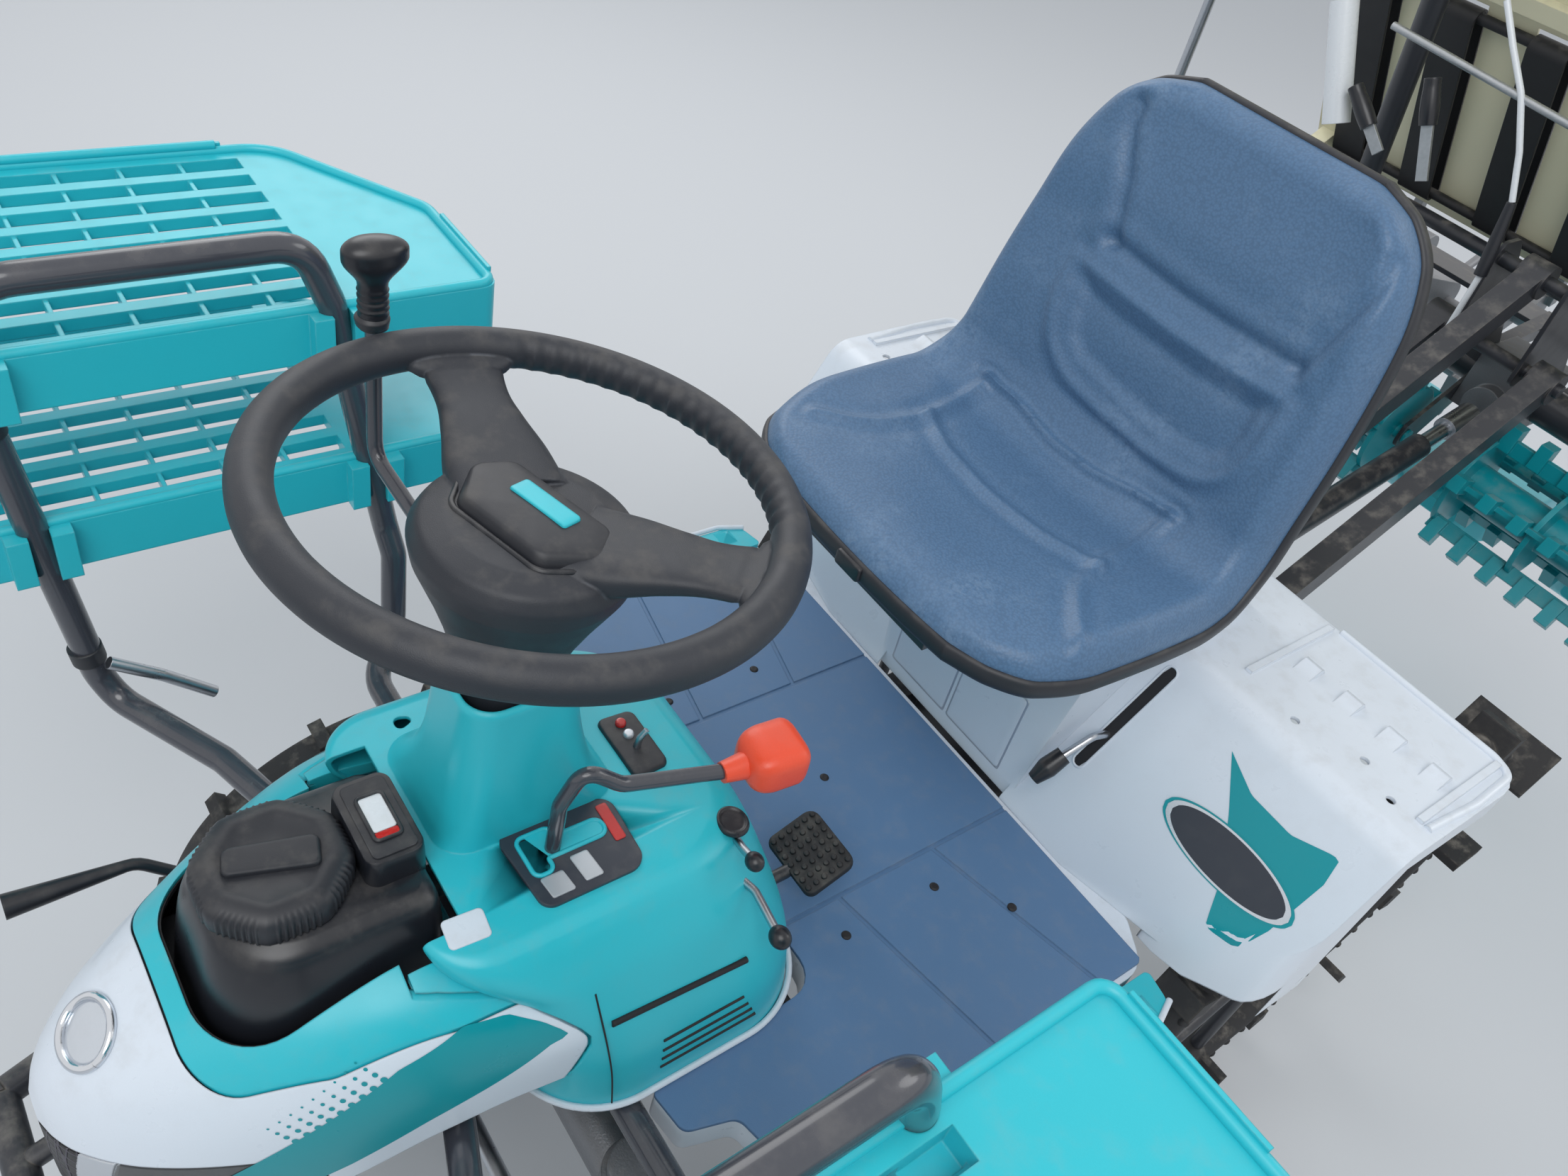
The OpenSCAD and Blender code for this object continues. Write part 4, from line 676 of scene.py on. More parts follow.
def along(key, rows):
    """Values of rows [key, a, b, ...] at a key, on a smooth line through the rows."""
    keys = [row[0] for row in rows]
    table = np.array([row[1:] for row in rows], float)
    k = min(max(key, keys[0]), keys[-1])
    i = max(0, min(len(keys) - 2, int(np.searchsorted(keys, k)) - 1))
    gap = keys[i + 1] - keys[i]

    def slope(j):
        if j == 0:
            return (table[1] - table[0]) / (keys[1] - keys[0])
        if j == len(keys) - 1:
            return (table[-1] - table[-2]) / (keys[-1] - keys[-2])
        before = (table[j] - table[j - 1]) / (keys[j] - keys[j - 1])
        after = (table[j + 1] - table[j]) / (keys[j + 1] - keys[j])
        same = before * after > 0
        total = np.where(np.abs(before + after) < 1e-9, 1, before + after)
        return np.where(same, 2 * before * after / total, 0)

    t = (k - keys[i]) / gap
    return (table[i] * (1 + 2 * t) * (1 - t) ** 2 + slope(i) * gap * t * (1 - t) ** 2
            + table[i + 1] * t * t * (3 - 2 * t) + slope(i + 1) * gap * t * t * (t - 1))


def carve(obj, cutter_points, cutter_faces, operation="DIFFERENCE"):
    """Cuts a piece with a closed form, and removes the form."""
    mesh = bpy.data.meshes.new("cutter")
    mesh.from_pydata([at(*p) for p in cutter_points], [], [tuple(f) for f in cutter_faces])
    work = bmesh.new()
    work.from_mesh(mesh)
    bmesh.ops.remove_doubles(work, verts=work.verts, dist=1e-7)
    bmesh.ops.recalc_face_normals(work, faces=work.faces)
    work.to_mesh(mesh)
    work.free()
    cutter = bpy.data.objects.new("cutter", mesh)
    bpy.context.scene.collection.objects.link(cutter)
    return carve_with(obj, cutter, operation)


def carve_with(obj, cutter, operation="DIFFERENCE", keep=False):
    """Cuts a piece with another object, which is removed unless it is kept, and shades it anew."""
    change = obj.modifiers.new("cut", "BOOLEAN")
    change.operation = operation
    change.solver = "EXACT"
    change.object = cutter
    bpy.context.view_layer.update()
    result = bpy.data.meshes.new_from_object(obj.evaluated_get(
        bpy.context.evaluated_depsgraph_get()))
    obj.modifiers.clear()
    obj.data = result
    if not keep:
        bpy.data.objects.remove(cutter)
    work = bmesh.new()
    work.from_mesh(result)
    shade_smooth(work, SHARP)
    work.to_mesh(result)
    work.free()
    return obj


# Steering wheel

STEER_Y = 147.0
STEER_Z = FLOOR + 530
STEER_LEAN = math.radians(5)
STEER_R = 187.0
STEER_TUBE = 14.2
SPOKE_ANGLES = (math.radians(42), math.radians(173))
SCALLOPS = 21
SCALLOP_DEEP = 2.6


def on_steer(x, y, z):
    """A place on the steering wheel, from its centre, with its lean towards the operator."""
    c, s = math.cos(STEER_LEAN), math.sin(STEER_LEAN)
    return (x, STEER_Y + y * c + z * s, STEER_Z - y * s + z * c)


# The hub stands turned, half way between the spokes
HUB_TURN = (SPOKE_ANGLES[0] + SPOKE_ANGLES[1]) / 2 - TAU / 4


def on_hub(x, y, z):
    c, s = math.cos(HUB_TURN), math.sin(HUB_TURN)
    return on_steer(x * c - y * s, x * s + y * c, z)


def steering_rim():
    rings = []
    turns = 420
    low, high = SPOKE_ANGLES[0] + 0.26, SPOKE_ANGLES[1] - 0.26
    for k in range(turns):
        a = TAU * k / turns
        grip = 0.0
        if low < a < high:
            grip = (0.5 - 0.5 * math.cos(TAU * SCALLOPS * (a - low) / (high - low))) ** 0.7
        ring = []
        for j in range(26):
            b = TAU * j / 26
            inner = max(0.0, -math.cos(b)) ** 1.4
            r = STEER_TUBE * (1 + 0.05 * abs(math.sin(b))) - SCALLOP_DEEP * grip * inner
            reach = STEER_R - STEER_TUBE + r * math.cos(b)
            ring.append(on_steer(reach * math.cos(a), reach * math.sin(a), r * math.sin(b)))
        rings.append(ring)
    return skin(rings + [rings[0]], capped=False)


def steering_spoke(angle):
    """One spoke: deep at the hub, slim in the middle and flared at the rim."""
    rows = [[34, 42, 34, -36], [66, 39, 29, -29], [100, 31, 21, -20], [126, 27, 16, -14],
            [146, 29, 14, -9], [160, 40, 14, -5], [172, 58, 15, -3]]
    rings = []
    for k in range(31):
        reach = lerp(34, 172, k / 30)
        half, deep, middle = along(reach, rows)
        groove = 1.3 if abs(reach - 150) < 3 else 0.0
        ring = []
        for c, s in circle(28):
            w = (half - groove) * bulged(c, 0.62)
            h = (deep / 2 - groove) * bulged(s, 0.62)
            bow = 0.0 if reach < 150 else -w * w / (2 * (STEER_R - STEER_TUBE))
            r = reach + bow
            x = r * math.cos(angle) - w * math.sin(angle)
            y = r * math.sin(angle) + w * math.cos(angle)
            ring.append(on_steer(x, y, middle + h))
        rings.append(ring)
    return skin(rings)


PAD = [[-40, -34, 15], [40, -34, 15], [66, 2, 15], [52, 32, 14], [-52, 32, 14], [-66, 2, 15]]


def domed(outline, low, high, soft, crown, place):
    """A raised pad: an outline that steps in to a softly crowned top."""
    middle = np.mean(np.array(outline), axis=0)
    rings = []
    for k in range(9):
        t = k / 8
        shrink = soft * (1 - math.cos(t * math.pi / 2))
        lift = lerp(low, high, math.sin(t * math.pi / 2))
        rings.append([(p, shrink, lift) for p in outline])
    for share in (0.8, 0.55, 0.3, 0.1):
        rings.append([(p, 1 - share, high + crown * (1 - share ** 2)) for p in outline])
    laid = []
    for i, ring in enumerate(rings):
        row = []
        for p, shrink, lift in ring:
            away = np.array(p) - middle
            reach = np.linalg.norm(away)
            inner = away * (reach - soft) / reach
            flat = middle + (away * (reach - shrink) / reach if i < 9 else inner * (1 - shrink))
            row.append(place(flat[0], flat[1], lift))
        laid.append(row)
    return skin(laid)


def build_steering_wheel():
    hub = softened([(0.5, -24), (56, -25), (74, -30), (80, -42), (76, -58), (60, -92), (50, -116),
                    (46, -128), (34, -130), (0.5, -130)], 9)
    shaft = [(1, -129), (11.6, -130), (11.6, -388), (1, -388)]
    parts = together(steering_rim(), spun(hub, on_steer, 72), spun(shaft, on_steer, 24),
                     *[steering_spoke(a) for a in SPOKE_ANGLES])
    wheel = piece("steering_wheel_grip", *parts, RIM_GRIP, "steering_wheel")
    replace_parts(wheel, "steering_wheel")
    pad = domed(fillet(PAD, 8), -44, -16, 9, 2.0, on_hub)
    piece("steering_pad", *pad, BLACK, "steering_wheel")
    plate = fillet([[-24, 0, 2.5], [28, 0, 2.5], [28, 17, 2.5], [-24, 17, 2.5]], 4)
    badge = domed(plate, -15.5, -12.6, 1.4, 0.2, on_hub)
    piece("steering_badge", *badge, TEAL, "steering_wheel")
    # Dark line between the pad and the hub under it
    seam = [on_hub(x * 1.02, y * 1.02, -25) for x, y in fillet(PAD, 8)]
    piece("steering_seam", *closed_pipe(seam, 2.2, 8), BLACK_GLOSS,
          "steering_wheel")


# Seat

SEAT_FRONT = 472.0
SEAT_FLAT = 228.0
SEAT_BEND_R = 100.0
SEAT_BEND = math.radians(78)
SEAT_ARC = SEAT_BEND_R * SEAT_BEND
SEAT_END = 659.0
# Rows across the seat: [distance along the sheet, half width, thickness]
SEAT_ROWS = [[0, 126, 40], [16, 164, 42], [44, 194, 44], [100, 211, 45], [228, 217, 45],
             [273, 216, 46], [320, 211, 48], [364, 207, 48], [460, 201, 46], [560, 188, 43],
             [615, 168, 41], [645, 138, 40], [659, 100, 38]]
# Moulded ribs and grooves of the cushion: height, width, and places [x, distance along the sheet]
SEAT_RIBS = [
    [4.2, 10, [(-117, 178), (-69, 163), (-4, 160), (73, 164), (124, 178)]],
    [4.2, 10, [(-128, 302), (-82, 302), (-29, 290), (28, 294), (75, 310), (118, 318)]],
    [4.2, 10, [(-128, 302), (-126, 240), (-117, 178), (-121, 124), (-135, 90), (-159, 64)]],
    [4.2, 10, [(118, 318), (120, 244), (124, 178), (141, 132), (173, 98), (199, 76)]],
    [5.5, 11, [(-96, 478), (-40, 474), (16, 472), (70, 474), (134, 480)]],
    [-6.0, 11, [(-92, 508), (-40, 503), (10, 501), (60, 502), (134, 508)]],
    [4.0, 11, [(-112, 478), (-110, 436), (-97, 396), (-60, 374), (-12, 368), (56, 366), (116, 374),
               (144, 396), (152, 430), (150, 478)]],
    [-5.0, 11, [(-86, 506), (-105, 562), (-126, 600), (-128, 622)]],
    [-5.0, 11, [(137, 506), (150, 560), (160, 596), (156, 618)]]]
# Pocket of the lower back: its outline and depth
SEAT_POCKET = [(-96, 470), (-93, 436), (-82, 408), (-60, 392), (0, 384), (70, 382), (116, 390),
               (134, 408), (138, 434), (134, 472), (60, 464), (-40, 464)]
POCKET_DEEP = 8.0


def seat_place(x, s, h):
    """A place over the seat's sheet: across, along it and above it."""
    if s <= SEAT_FLAT:
        return (x, SEAT_FRONT + s, SEAT + h)
    turn = min(s - SEAT_FLAT, SEAT_ARC) / SEAT_BEND_R
    rest = max(s - SEAT_FLAT - SEAT_ARC, 0)
    reach = SEAT_BEND_R - h
    return (x, SEAT_FRONT + SEAT_FLAT + reach * math.sin(turn) + rest * math.cos(turn),
            SEAT + SEAT_BEND_R - reach * math.cos(turn) + rest * math.sin(turn))


def rib_height(x, s):
    """Height that the moulded ribs and grooves add, for arrays of places."""
    total = np.zeros_like(x)
    for lift, wide, line in SEAT_RIBS:
        line = np.array(softened(line, 60))
        near = np.full_like(x, 1e9)
        for p, q in zip(line, line[1:]):
            d = q - p
            if d @ d < 1e-6:
                continue
            t = np.clip(((x - p[0]) * d[0] + (s - p[1]) * d[1]) / (d @ d), 0, 1)
            near = np.minimum(near, np.hypot(x - p[0] - t * d[0], s - p[1] - t * d[1]))
        total += lift * np.exp(-(near / (wide * 0.62)) ** 2)
        total += -0.28 * lift * np.exp(-((near - wide * 1.5) / (wide * 0.8)) ** 2)
    return total


def pocket_depth(x, s):
    """Depth of the pocket at arrays of places, with a soft edge."""
    outline = np.array(SEAT_POCKET, float)
    inside = np.zeros(x.shape, bool)
    near = np.full_like(x, 1e9)
    for p, q in zip(outline, np.roll(outline, -1, axis=0)):
        d = q - p
        t = np.clip(((x - p[0]) * d[0] + (s - p[1]) * d[1]) / (d @ d), 0, 1)
        near = np.minimum(near, np.hypot(x - p[0] - t * d[0], s - p[1] - t * d[1]))
        crosses = (p[1] > s) != (q[1] > s)
        with np.errstate(divide="ignore", invalid="ignore"):
            at_x = (q[0] - p[0]) * (s - p[1]) / (q[1] - p[1] + 1e-9) + p[0]
        inside ^= crosses & (x < at_x)
    return POCKET_DEEP * np.where(inside, smoothstep(0, 16, near), 0)


def seat_form():
    """Grid of the cushion's top: across, along and height."""
    columns, rows = 150, 240
    u = np.sin(np.linspace(-1, 1, columns) * math.pi / 2)
    v = (1 - np.cos(np.linspace(0, 1, rows) * math.pi)) / 2
    s = np.repeat((v * SEAT_END)[:, None], columns, axis=1)
    shape = np.array([along(value, SEAT_ROWS) for value in v * SEAT_END])
    wide = shape[:, 0][:, None]
    x = u[None, :] * wide
    # The front and rear edges bow outwards in the middle
    s = s + 7 * (1 - (x / wide) ** 2) * (np.where(s < 60, -1, 0) * (1 - s / 60))
    thick = shape[:, 1][:, None]
    side = wide - np.abs(x)
    end = np.minimum(v * SEAT_END, (1 - v) * SEAT_END)[:, None] + 0 * x
    soft = 26.0
    rise_side = np.sqrt(np.clip(1 - (1 - np.clip(side / soft, 0, 1)) ** 2, 0, 1))
    rise_end = np.sqrt(np.clip(1 - (1 - np.clip(end / soft, 0, 1)) ** 2, 0, 1))
    rise = rise_side * rise_end
    bolster = 17 * (np.abs(x) / wide) ** 3.0 * smoothstep(20, 120, s)
    dish = -7 * np.exp(-(x / 95) ** 2) * smoothstep(30, 120, s) * (1 - smoothstep(420, 520, s))
    head = 5 * smoothstep(500, 560, s)
    lumbar = 8 * np.exp(-((s - 430) / 40) ** 2) * np.exp(-(x / 120) ** 2)
    height = thick - 8 + bolster + dish + head + lumbar + rib_height(x, s) - pocket_depth(x, s)
    return x, s, 10 + (height - 10) * rise


def grid_faces(rows, columns, first=0):
    """Faces of a grid of points that are numbered row by row."""
    return [(first + i * columns + j, first + i * columns + j + 1,
             first + (i + 1) * columns + j + 1, first + (i + 1) * columns + j)
            for i in range(rows - 1) for j in range(columns - 1)]


def build_seat():
    x, s, height = seat_form()
    rows, columns = x.shape
    every = [(i, j) for i in range(rows) for j in range(columns)]
    points = [seat_place(x[i, j], s[i, j], height[i, j]) for i, j in every]
    faces = grid_faces(rows, columns)
    edge = ([(0, j) for j in range(columns)] + [(i, columns - 1) for i in range(1, rows)]
            + [(rows - 1, j) for j in range(columns - 2, -1, -1)]
            + [(i, 0) for i in range(rows - 2, 0, -1)])
    base = len(points)
    points += [seat_place(x[i, j] * 0.995, s[i, j], 3) for i, j in edge]
    count = len(edge)
    index = [i * columns + j for i, j in edge]
    faces += [(index[k], index[(k + 1) % count], base + (k + 1) % count, base + k)
              for k in range(count)]
    under = len(points)
    points += [seat_place(x[i, j] * 0.995, s[i, j], 3) for i, j in every]
    faces += [(a, d, c, b) for a, b, c, d in grid_faces(rows, columns, under)]
    cushion = piece("seat_hide", points, faces, HIDE, "seat_cushion", sharp=60)
    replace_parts(cushion, "seat_cushion")
    # Black edge that clips over the cushion all round
    profile = [(-3, 15), (1.5, 16), (3.6, 13), (4.2, 8), (3.8, 1), (1, -4), (-5, -6), (-9, -4)]
    trim = [np.array([x[i, j], s[i, j]]) for i, j in edge]
    rings = []
    middle = np.array([0.0, SEAT_END / 2])
    for k, here in enumerate(trim):
        way = trim[(k + 3) % count] - trim[k - 3]
        way /= max(np.linalg.norm(way), 1e-6)
        normal = np.array([way[1], -way[0]])
        if normal @ (here - middle) < 0:
            normal = -normal
        rings.append([seat_place(*(here + normal * out), h) for out, h in profile])
    piece("seat_edge", *skin(rings + [rings[0]], capped=False), BLACK, "seat_cushion", sharp=70)
    # Back shell
    shell = [seat_place(x[i, j] * 0.985, s[i, j],
                        -2 - 5 * math.sin(math.pi * i / (rows - 1)) ** 0.5)
             for i in range(0, rows, 2) for j in range(0, columns, 2)]
    faces = grid_faces(len(range(0, rows, 2)), len(range(0, columns, 2)))
    piece("seat_shell", shell, faces, BLACK, "seat_cushion", sharp=70)
    ribs = []
    for offset in (-90, -30, 30, 90):
        line = [seat_place(offset, d, -9) for d in np.linspace(330, 630, 24)]
        ribs.append(pipe(line, 4.5, 8))
    for d in (400, 500, 590):
        line = [seat_place(o, d, -9) for o in np.linspace(-170, 170, 18)]
        ribs.append(pipe(line, 4.5, 8))
    piece("seat_shell_ribs", *together(*ribs), BLACK, "seat_cushion", sharp=70)
    clip = domed(fillet([[-17, -8, 3], [17, -8, 3], [17, 8, 3], [-17, 8, 3]], 4), 0, 4, 2, 0.5,
                 lambda a, b, c: (a + 6, SEAT_FRONT - 10 - c, SEAT + 6 + b))
    piece("seat_clip", *clip, BLACK_GLOSS, "seat_cushion")


# Bonnet and nose

HOOD_ROWS = [[-232, 26, -20, 60, 2.2], [-226, 46, -40, 76, 2.25], [-214, 66, -52, 92, 2.4],
             [-176, 98, -60, 124, 2.6], [-120, 124, -40, 152, 2.8], [-50, 148, 0, 178, 3],
             [20, 164, 36, 192, 3.2], [88, 177, 56, 178, 3.4], [150, 186, 60, 168, 3.5]]
HOOD_WALL = 3.6
HOOD_FRONT = -232
# Rear edge of the bonnet in side view [y, height]: level across the top, then round the side tails
SEAM_Y = 13.0
TAIL_EDGE = [(13, 752), (30, 750), (47, 746), (70, 740), (90, 730), (110, 714), (124, 700),
             (131, 690), (131, 680), (119, 648), (102, 612), (82, 588), (66, 566), (60, 520)]
HOOD_REAR = 140.0
NOSE_TOP = FLOOR + 50.0
NOSE_REAR = -66.0


def hood_ring(y, inset, drop, count=96):
    """Half ring across the bonnet, from its left foot over the top to its right foot."""
    half, low, top, round_off = along(y, HOOD_ROWS)
    low, top = FLOOR + low - drop, FLOOR + top - inset
    ring = []
    for i in range(count + 1):
        t = math.pi * i / count
        ring.append(((half - inset) * bulged(math.cos(t), 2 / round_off), y,
                     low + (top - low) * abs(math.sin(t)) ** (2 / round_off)))
    return ring


def hood_block(inset, drop, front, rear, count=84):
    """Solid form of the bonnet, from one place along the machine to another."""
    rings = [hood_ring(lerp(front, rear, 1 - math.cos(k / count * math.pi / 2)), inset, drop)
             for k in range(count + 1)]
    return skin(rings)


def hood_side(y, z):
    """Half width of the bonnet at a place along it and a height."""
    half, low, top, round_off = along(y, HOOD_ROWS)
    s = np.clip((z - FLOOR - low) / (top - low), 0, 1) ** (round_off / 2)
    return half * math.sqrt(max(0.0, 1 - s * s)) ** (2 / round_off)


def hood_top(x, y):
    """Height of the bonnet at a place seen from above."""
    half, low, top, round_off = along(y, HOOD_ROWS)
    c = np.clip(abs(x) / half, 0, 1) ** (round_off / 2)
    return FLOOR + low + (top - low) * math.sqrt(max(0.0, 1 - c * c)) ** (2 / round_off)


INLAY_PLAN = [[-150, 140, 4], [-146, 40, 90], [-126, -50, 70], [-88, -138, 56], [88, -138, 56],
              [126, -50, 70], [146, 40, 90], [150, 140, 4]]
COWL_PLAN = [[-91, 64, 14], [-91, -122, 60], [91, -122, 60], [91, 64, 14]]


def grown(outline, reach):
    """An outline moved outwards by a small reach."""
    out = []
    count = len(outline)
    area = sum(a[0] * b[1] - b[0] * a[1] for a, b in zip(outline, outline[1:] + outline[:1]))
    for i in range(count):
        before, after = np.array(outline[i - 1], float), np.array(outline[(i + 1) % count], float)
        way = after - before
        way /= max(np.linalg.norm(way), 1e-9)
        outwards = np.array([way[1], -way[0]]) * (1 if area > 0 else -1)
        out.append(tuple(np.array(outline[i]) + outwards * reach))
    return out


def behind_tail(reach):
    """Everything behind the rear edge of the bonnet, which is moved back by a reach."""
    edge = [(y + reach, z + (reach if y > 20 and z > 700 else 0))
            for y, z in softened(TAIL_EDGE, 14)]
    outline = [(SEAM_Y + reach, 900)] + edge + [(60 + reach, 400), (300, 400), (300, 900)]
    return slab(outline, -300, 300, place=side_view)


def hood_shell(name, material, node, front=HOOD_FRONT, rear=HOOD_REAR):
    """The bonnet's wall, in one finish, from one place along the machine to another."""
    shell = piece(name, *hood_block(0, 0, front, rear), material, node)
    return carve(shell, *hood_block(HOOD_WALL, 12, front + HOOD_WALL, rear + 4))


def build_bonnet():
    inlay = fillet(INLAY_PLAN, 12)
    cowl = fillet(COWL_PLAN, 12)
    bonnet = hood_shell("bonnet_white", WHITE, "bonnet")
    carve(bonnet, *slab(inlay, FLOOR - 100, FLOOR + 400))
    carve(bonnet, *box(-300, 300, -260, NOSE_REAR, FLOOR - 140, NOSE_TOP))
    carve(bonnet, *behind_tail(0))
    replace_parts(bonnet, "bonnet")
    teal = hood_shell("bonnet_teal", TEAL, "bonnet_inlay")
    carve(teal, *slab(grown(inlay, -1.6), FLOOR - 100, FLOOR + 400), operation="INTERSECT")
    carve(teal, *slab(cowl, FLOOR - 100, FLOOR + 400))
    carve(teal, *behind_tail(0))
    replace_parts(teal, "bonnet_inlay")
    # Near-black form under the seams, a little smaller than the bonnet: painted shade that shows
    # through the gaps
    under = hood_shell("bonnet_painted_shade_under", DARK_SHADE_AND_SCREWS, "bonnet", HOOD_FRONT + 4, HOOD_REAR - 3)
    middle = at(0, -60, FLOOR + 60)
    shrink = Matrix.Diagonal((0.972, 0.985, 0.972, 1))
    under.data.transform(Matrix.Translation(middle) @ shrink @ Matrix.Translation(-middle))
    carve(under, *slab(grown(cowl, -2), FLOOR - 200, FLOOR + 400))
    carve(under, *behind_tail(-3))
    carve(under, *box(-300, 300, -300, NOSE_REAR - 6, FLOOR - 240, FLOOR - 60))
    build_nose()
    build_nose_ring()
    build_bonnet_swoosh()


def build_nose():
    """Honeycomb in the middle, satin frames beside it, and a lamp each side."""
    def nose_middle(half):
        return box(-half, half, -300, 100, FLOOR - 160, FLOOR + 100)

    low = box(-300, 300, -260, NOSE_REAR - 2, FLOOR - 140, NOSE_TOP - 2.2)
    grille = hood_shell("nose_honeycomb", HONEYCOMB, "nose_grille")
    carve(grille, *low, operation="INTERSECT")
    carve(grille, *nose_middle(52), operation="INTERSECT")
    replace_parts(grille, "nose_grille")
    frames = hood_shell("nose_frames", SATIN_PLATE, "nose_grille")
    carve(frames, *low, operation="INTERSECT")
    carve(frames, *nose_middle(51.5))
    carve(frames, *nose_middle(72), operation="INTERSECT")
    lens = hood_shell("lamp_lenses", LENS, "headlamps")
    carve(lens, *low, operation="INTERSECT")
    carve(lens, *nose_middle(73))
    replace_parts(lens, "headlamps")
    # Chrome bowls and a dark housing behind each lens
    bowl = softened([(31, 0), (30, -3), (26, -14), (18, -22), (8, -26), (7, -18), (0.4, -16)], 3)
    bulb = softened([(0.4, 4), (6, 4), (7, -4), (7, -18), (0.4, -18)], 3)
    for side, name in SIDES:
        spot = np.array([side * 92, -150.0, FLOOR - 4])
        face = unit(np.array([side * 0.42, -0.88, 0.05]))
        across, up = square_to(face)

        def in_lamp(a, b, c):
            return tuple(spot + across * a + up * b + face * c)

        piece("lamp_bowl_" + name, *spun(bowl, in_lamp, 48), CHROME, "headlamps", sharp=50)
        piece("lamp_bulb_" + name, *spun(bulb, in_lamp, 24), BADGE_SILVER, "headlamps")
    housing = piece("lamp_housing", *hood_block(9, 16, -218, -62, 40), BLACK, "headlamps")
    carve(housing, *box(-300, 300, -260, NOSE_REAR - 4, FLOOR - 140, NOSE_TOP - 5),
          operation="INTERSECT")
    for side, _ in SIDES:
        carve(housing, *slab([(side * 58, -260), (side * 300, -260), (side * 300, -90),
                              (side * 64, -116)], FLOOR - 44, FLOOR + 40))


def build_nose_ring():
    """Blank oval ring at the top of the nose, with its plate."""
    def on_nose(c, s, lift):
        x, y = 27 * c, -186 + 18 * s
        return (x, y, hood_top(x, y) + lift)

    ring = [on_nose(c, s, 2.2) for c, s in circle(64)]
    piece("nose_ring", *closed_pipe(ring, 3.6, 12), CHROME, "bonnet")
    plate = [[on_nose(share * c, share * s, 1.4) for c, s in circle(48)]
             for share in np.linspace(1, 0.02, 9)]
    piece("nose_ring_plate", *skin(plate), BADGE_SILVER, "bonnet")


def surface_patch(outline, place, lift, rows=16, spacing=5.0):
    """A thin decal that lies on a curved side: an outline cut from a fine grid."""
    outline = np.array(outline)
    low, high = outline.min(axis=0), outline.max(axis=0)
    columns = max(3, int((high[0] - low[0]) / spacing))
    rings = []
    edges = list(zip(outline, np.roll(outline, -1, axis=0)))
    for k in range(columns + 1):
        a = lerp(low[0] + 0.01, high[0] - 0.01, k / columns)
        crossing = sorted(p[1] + (a - p[0]) / (q[0] - p[0]) * (q[1] - p[1])
                          for p, q in edges if (p[0] - a) * (q[0] - a) < 0)
        if len(crossing) < 2:
            continue
        rings.append([place(a, lerp(crossing[0], crossing[-1], j / rows), lift)
                      for j in range(rows + 1)])
    return skin(rings, closed=False, capped=False)


def build_bonnet_swoosh():
    """Teal swoosh that runs back along each side of the white bonnet, and its dots, in the darkened
    decal teal: painted shade.
    """
    upper = [(-150, 600), (-62, 671), (-9, 712), (40, 734), (74, 731), (98, 718), (119, 700)]
    lower = [(101, 697), (52, 668), (6, 642), (-50, 606), (-96, 580)]
    outline = softened(upper + lower + upper[:1], 12)
    for side, name in SIDES:
        def on_side(y, z, lift):
            return (side * (hood_side(y, z) + lift), y, z)

        patch = surface_patch(outline, on_side, 0.5)
        piece("bonnet_swoosh_" + name, *patch, TEAL_DECAL_SHADED, "bonnet", sharp=60)
        dots = []
        for i in range(9):
            for j in range(4):
                y, z = -84 + i * 8.0 - j * 5.0, 654 + i * 6.4 + j * 5.0
                size = 2.6 * (1 - j / 4.6)
                ring = [on_side(y + size * c, z + size * s, 0.5) for c, s in circle(10)]
                dots.append((ring, [tuple(range(10))]))
        piece("bonnet_dots_" + name, *together(*dots), TEAL_DECAL_SHADED, "bonnet")


# Dash, hump of the column and what stands on them

DASH_TOP = FLOOR + 206
# Level rings of the dash: [height above floor, half width, front, rear, corner]
DASH_ROWS = [[0, 206, 96, 381, 60], [60, 202, 90, 371, 60], [150, 168, 60, 345, 62],
             [184, 148, 34, 331, 60], [198, 138, 29, 321, 58], [206, 128, 27, 311, 56]]
# Rings of the hump: [height above floor, right, left, front, rear, corner]
HUMP_ROWS = [[150, -112, 40, 56, 252, 30], [196, -100, 40, 66, 238, 30],
             [212, -90, 40, 74, 226, 28], [246, -66, 40, 80, 208, 28],
             [296, -50, 40, 84, 194, 28], [366, -44, 40, 90, 182, 26]]
DASH_WALL = 4.0


def dash_ring(height, inset):
    half, front, rear, corner = along(height, DASH_ROWS)
    half -= inset
    nose = np.interp(height, [100, 150, 184, 206], [86, 74, 56, 46]) - inset
    return [(x, y, FLOOR + height) for x, y in fillet([
        [-half, front + inset, nose], [-half, rear - inset, corner + 30],
        [half, rear - inset, corner + 30], [half, front + inset, nose]], 18)]


def hump_ring(height, inset):
    right, left, front, rear, corner = along(height, HUMP_ROWS)
    corner = max(4, corner - inset)
    return [(x, y, FLOOR + height) for x, y in fillet([
        [right + inset, front + inset, corner], [right + inset, rear - inset, corner],
        [left - inset, rear - inset, corner], [left - inset, front + inset, corner]], 12)]


def soft_top_form(ring_at, inset, low, high, soft, count):
    """Solid form through level rings, with its upper edge rounded by a whole radius."""
    rings = [ring_at(h, inset) for h in np.linspace(low, high - soft, count)]
    for k in range(1, soft + 1):
        t = k / soft * math.pi / 2
        rings.append(ring_at(high - soft + soft * math.sin(t), inset + soft * (1 - math.cos(t))))
    return skin(rings)


def dash_form(inset, low, high):
    return soft_top_form(dash_ring, inset, low, high, 6, 40)


def hump_form(inset, low, high):
    return soft_top_form(hump_ring, inset, low, high, 5, 46)


GATE = fillet([[33, 114, 14], [114, 120, 12], [114, 212, 16], [40, 216, 14]], 8)
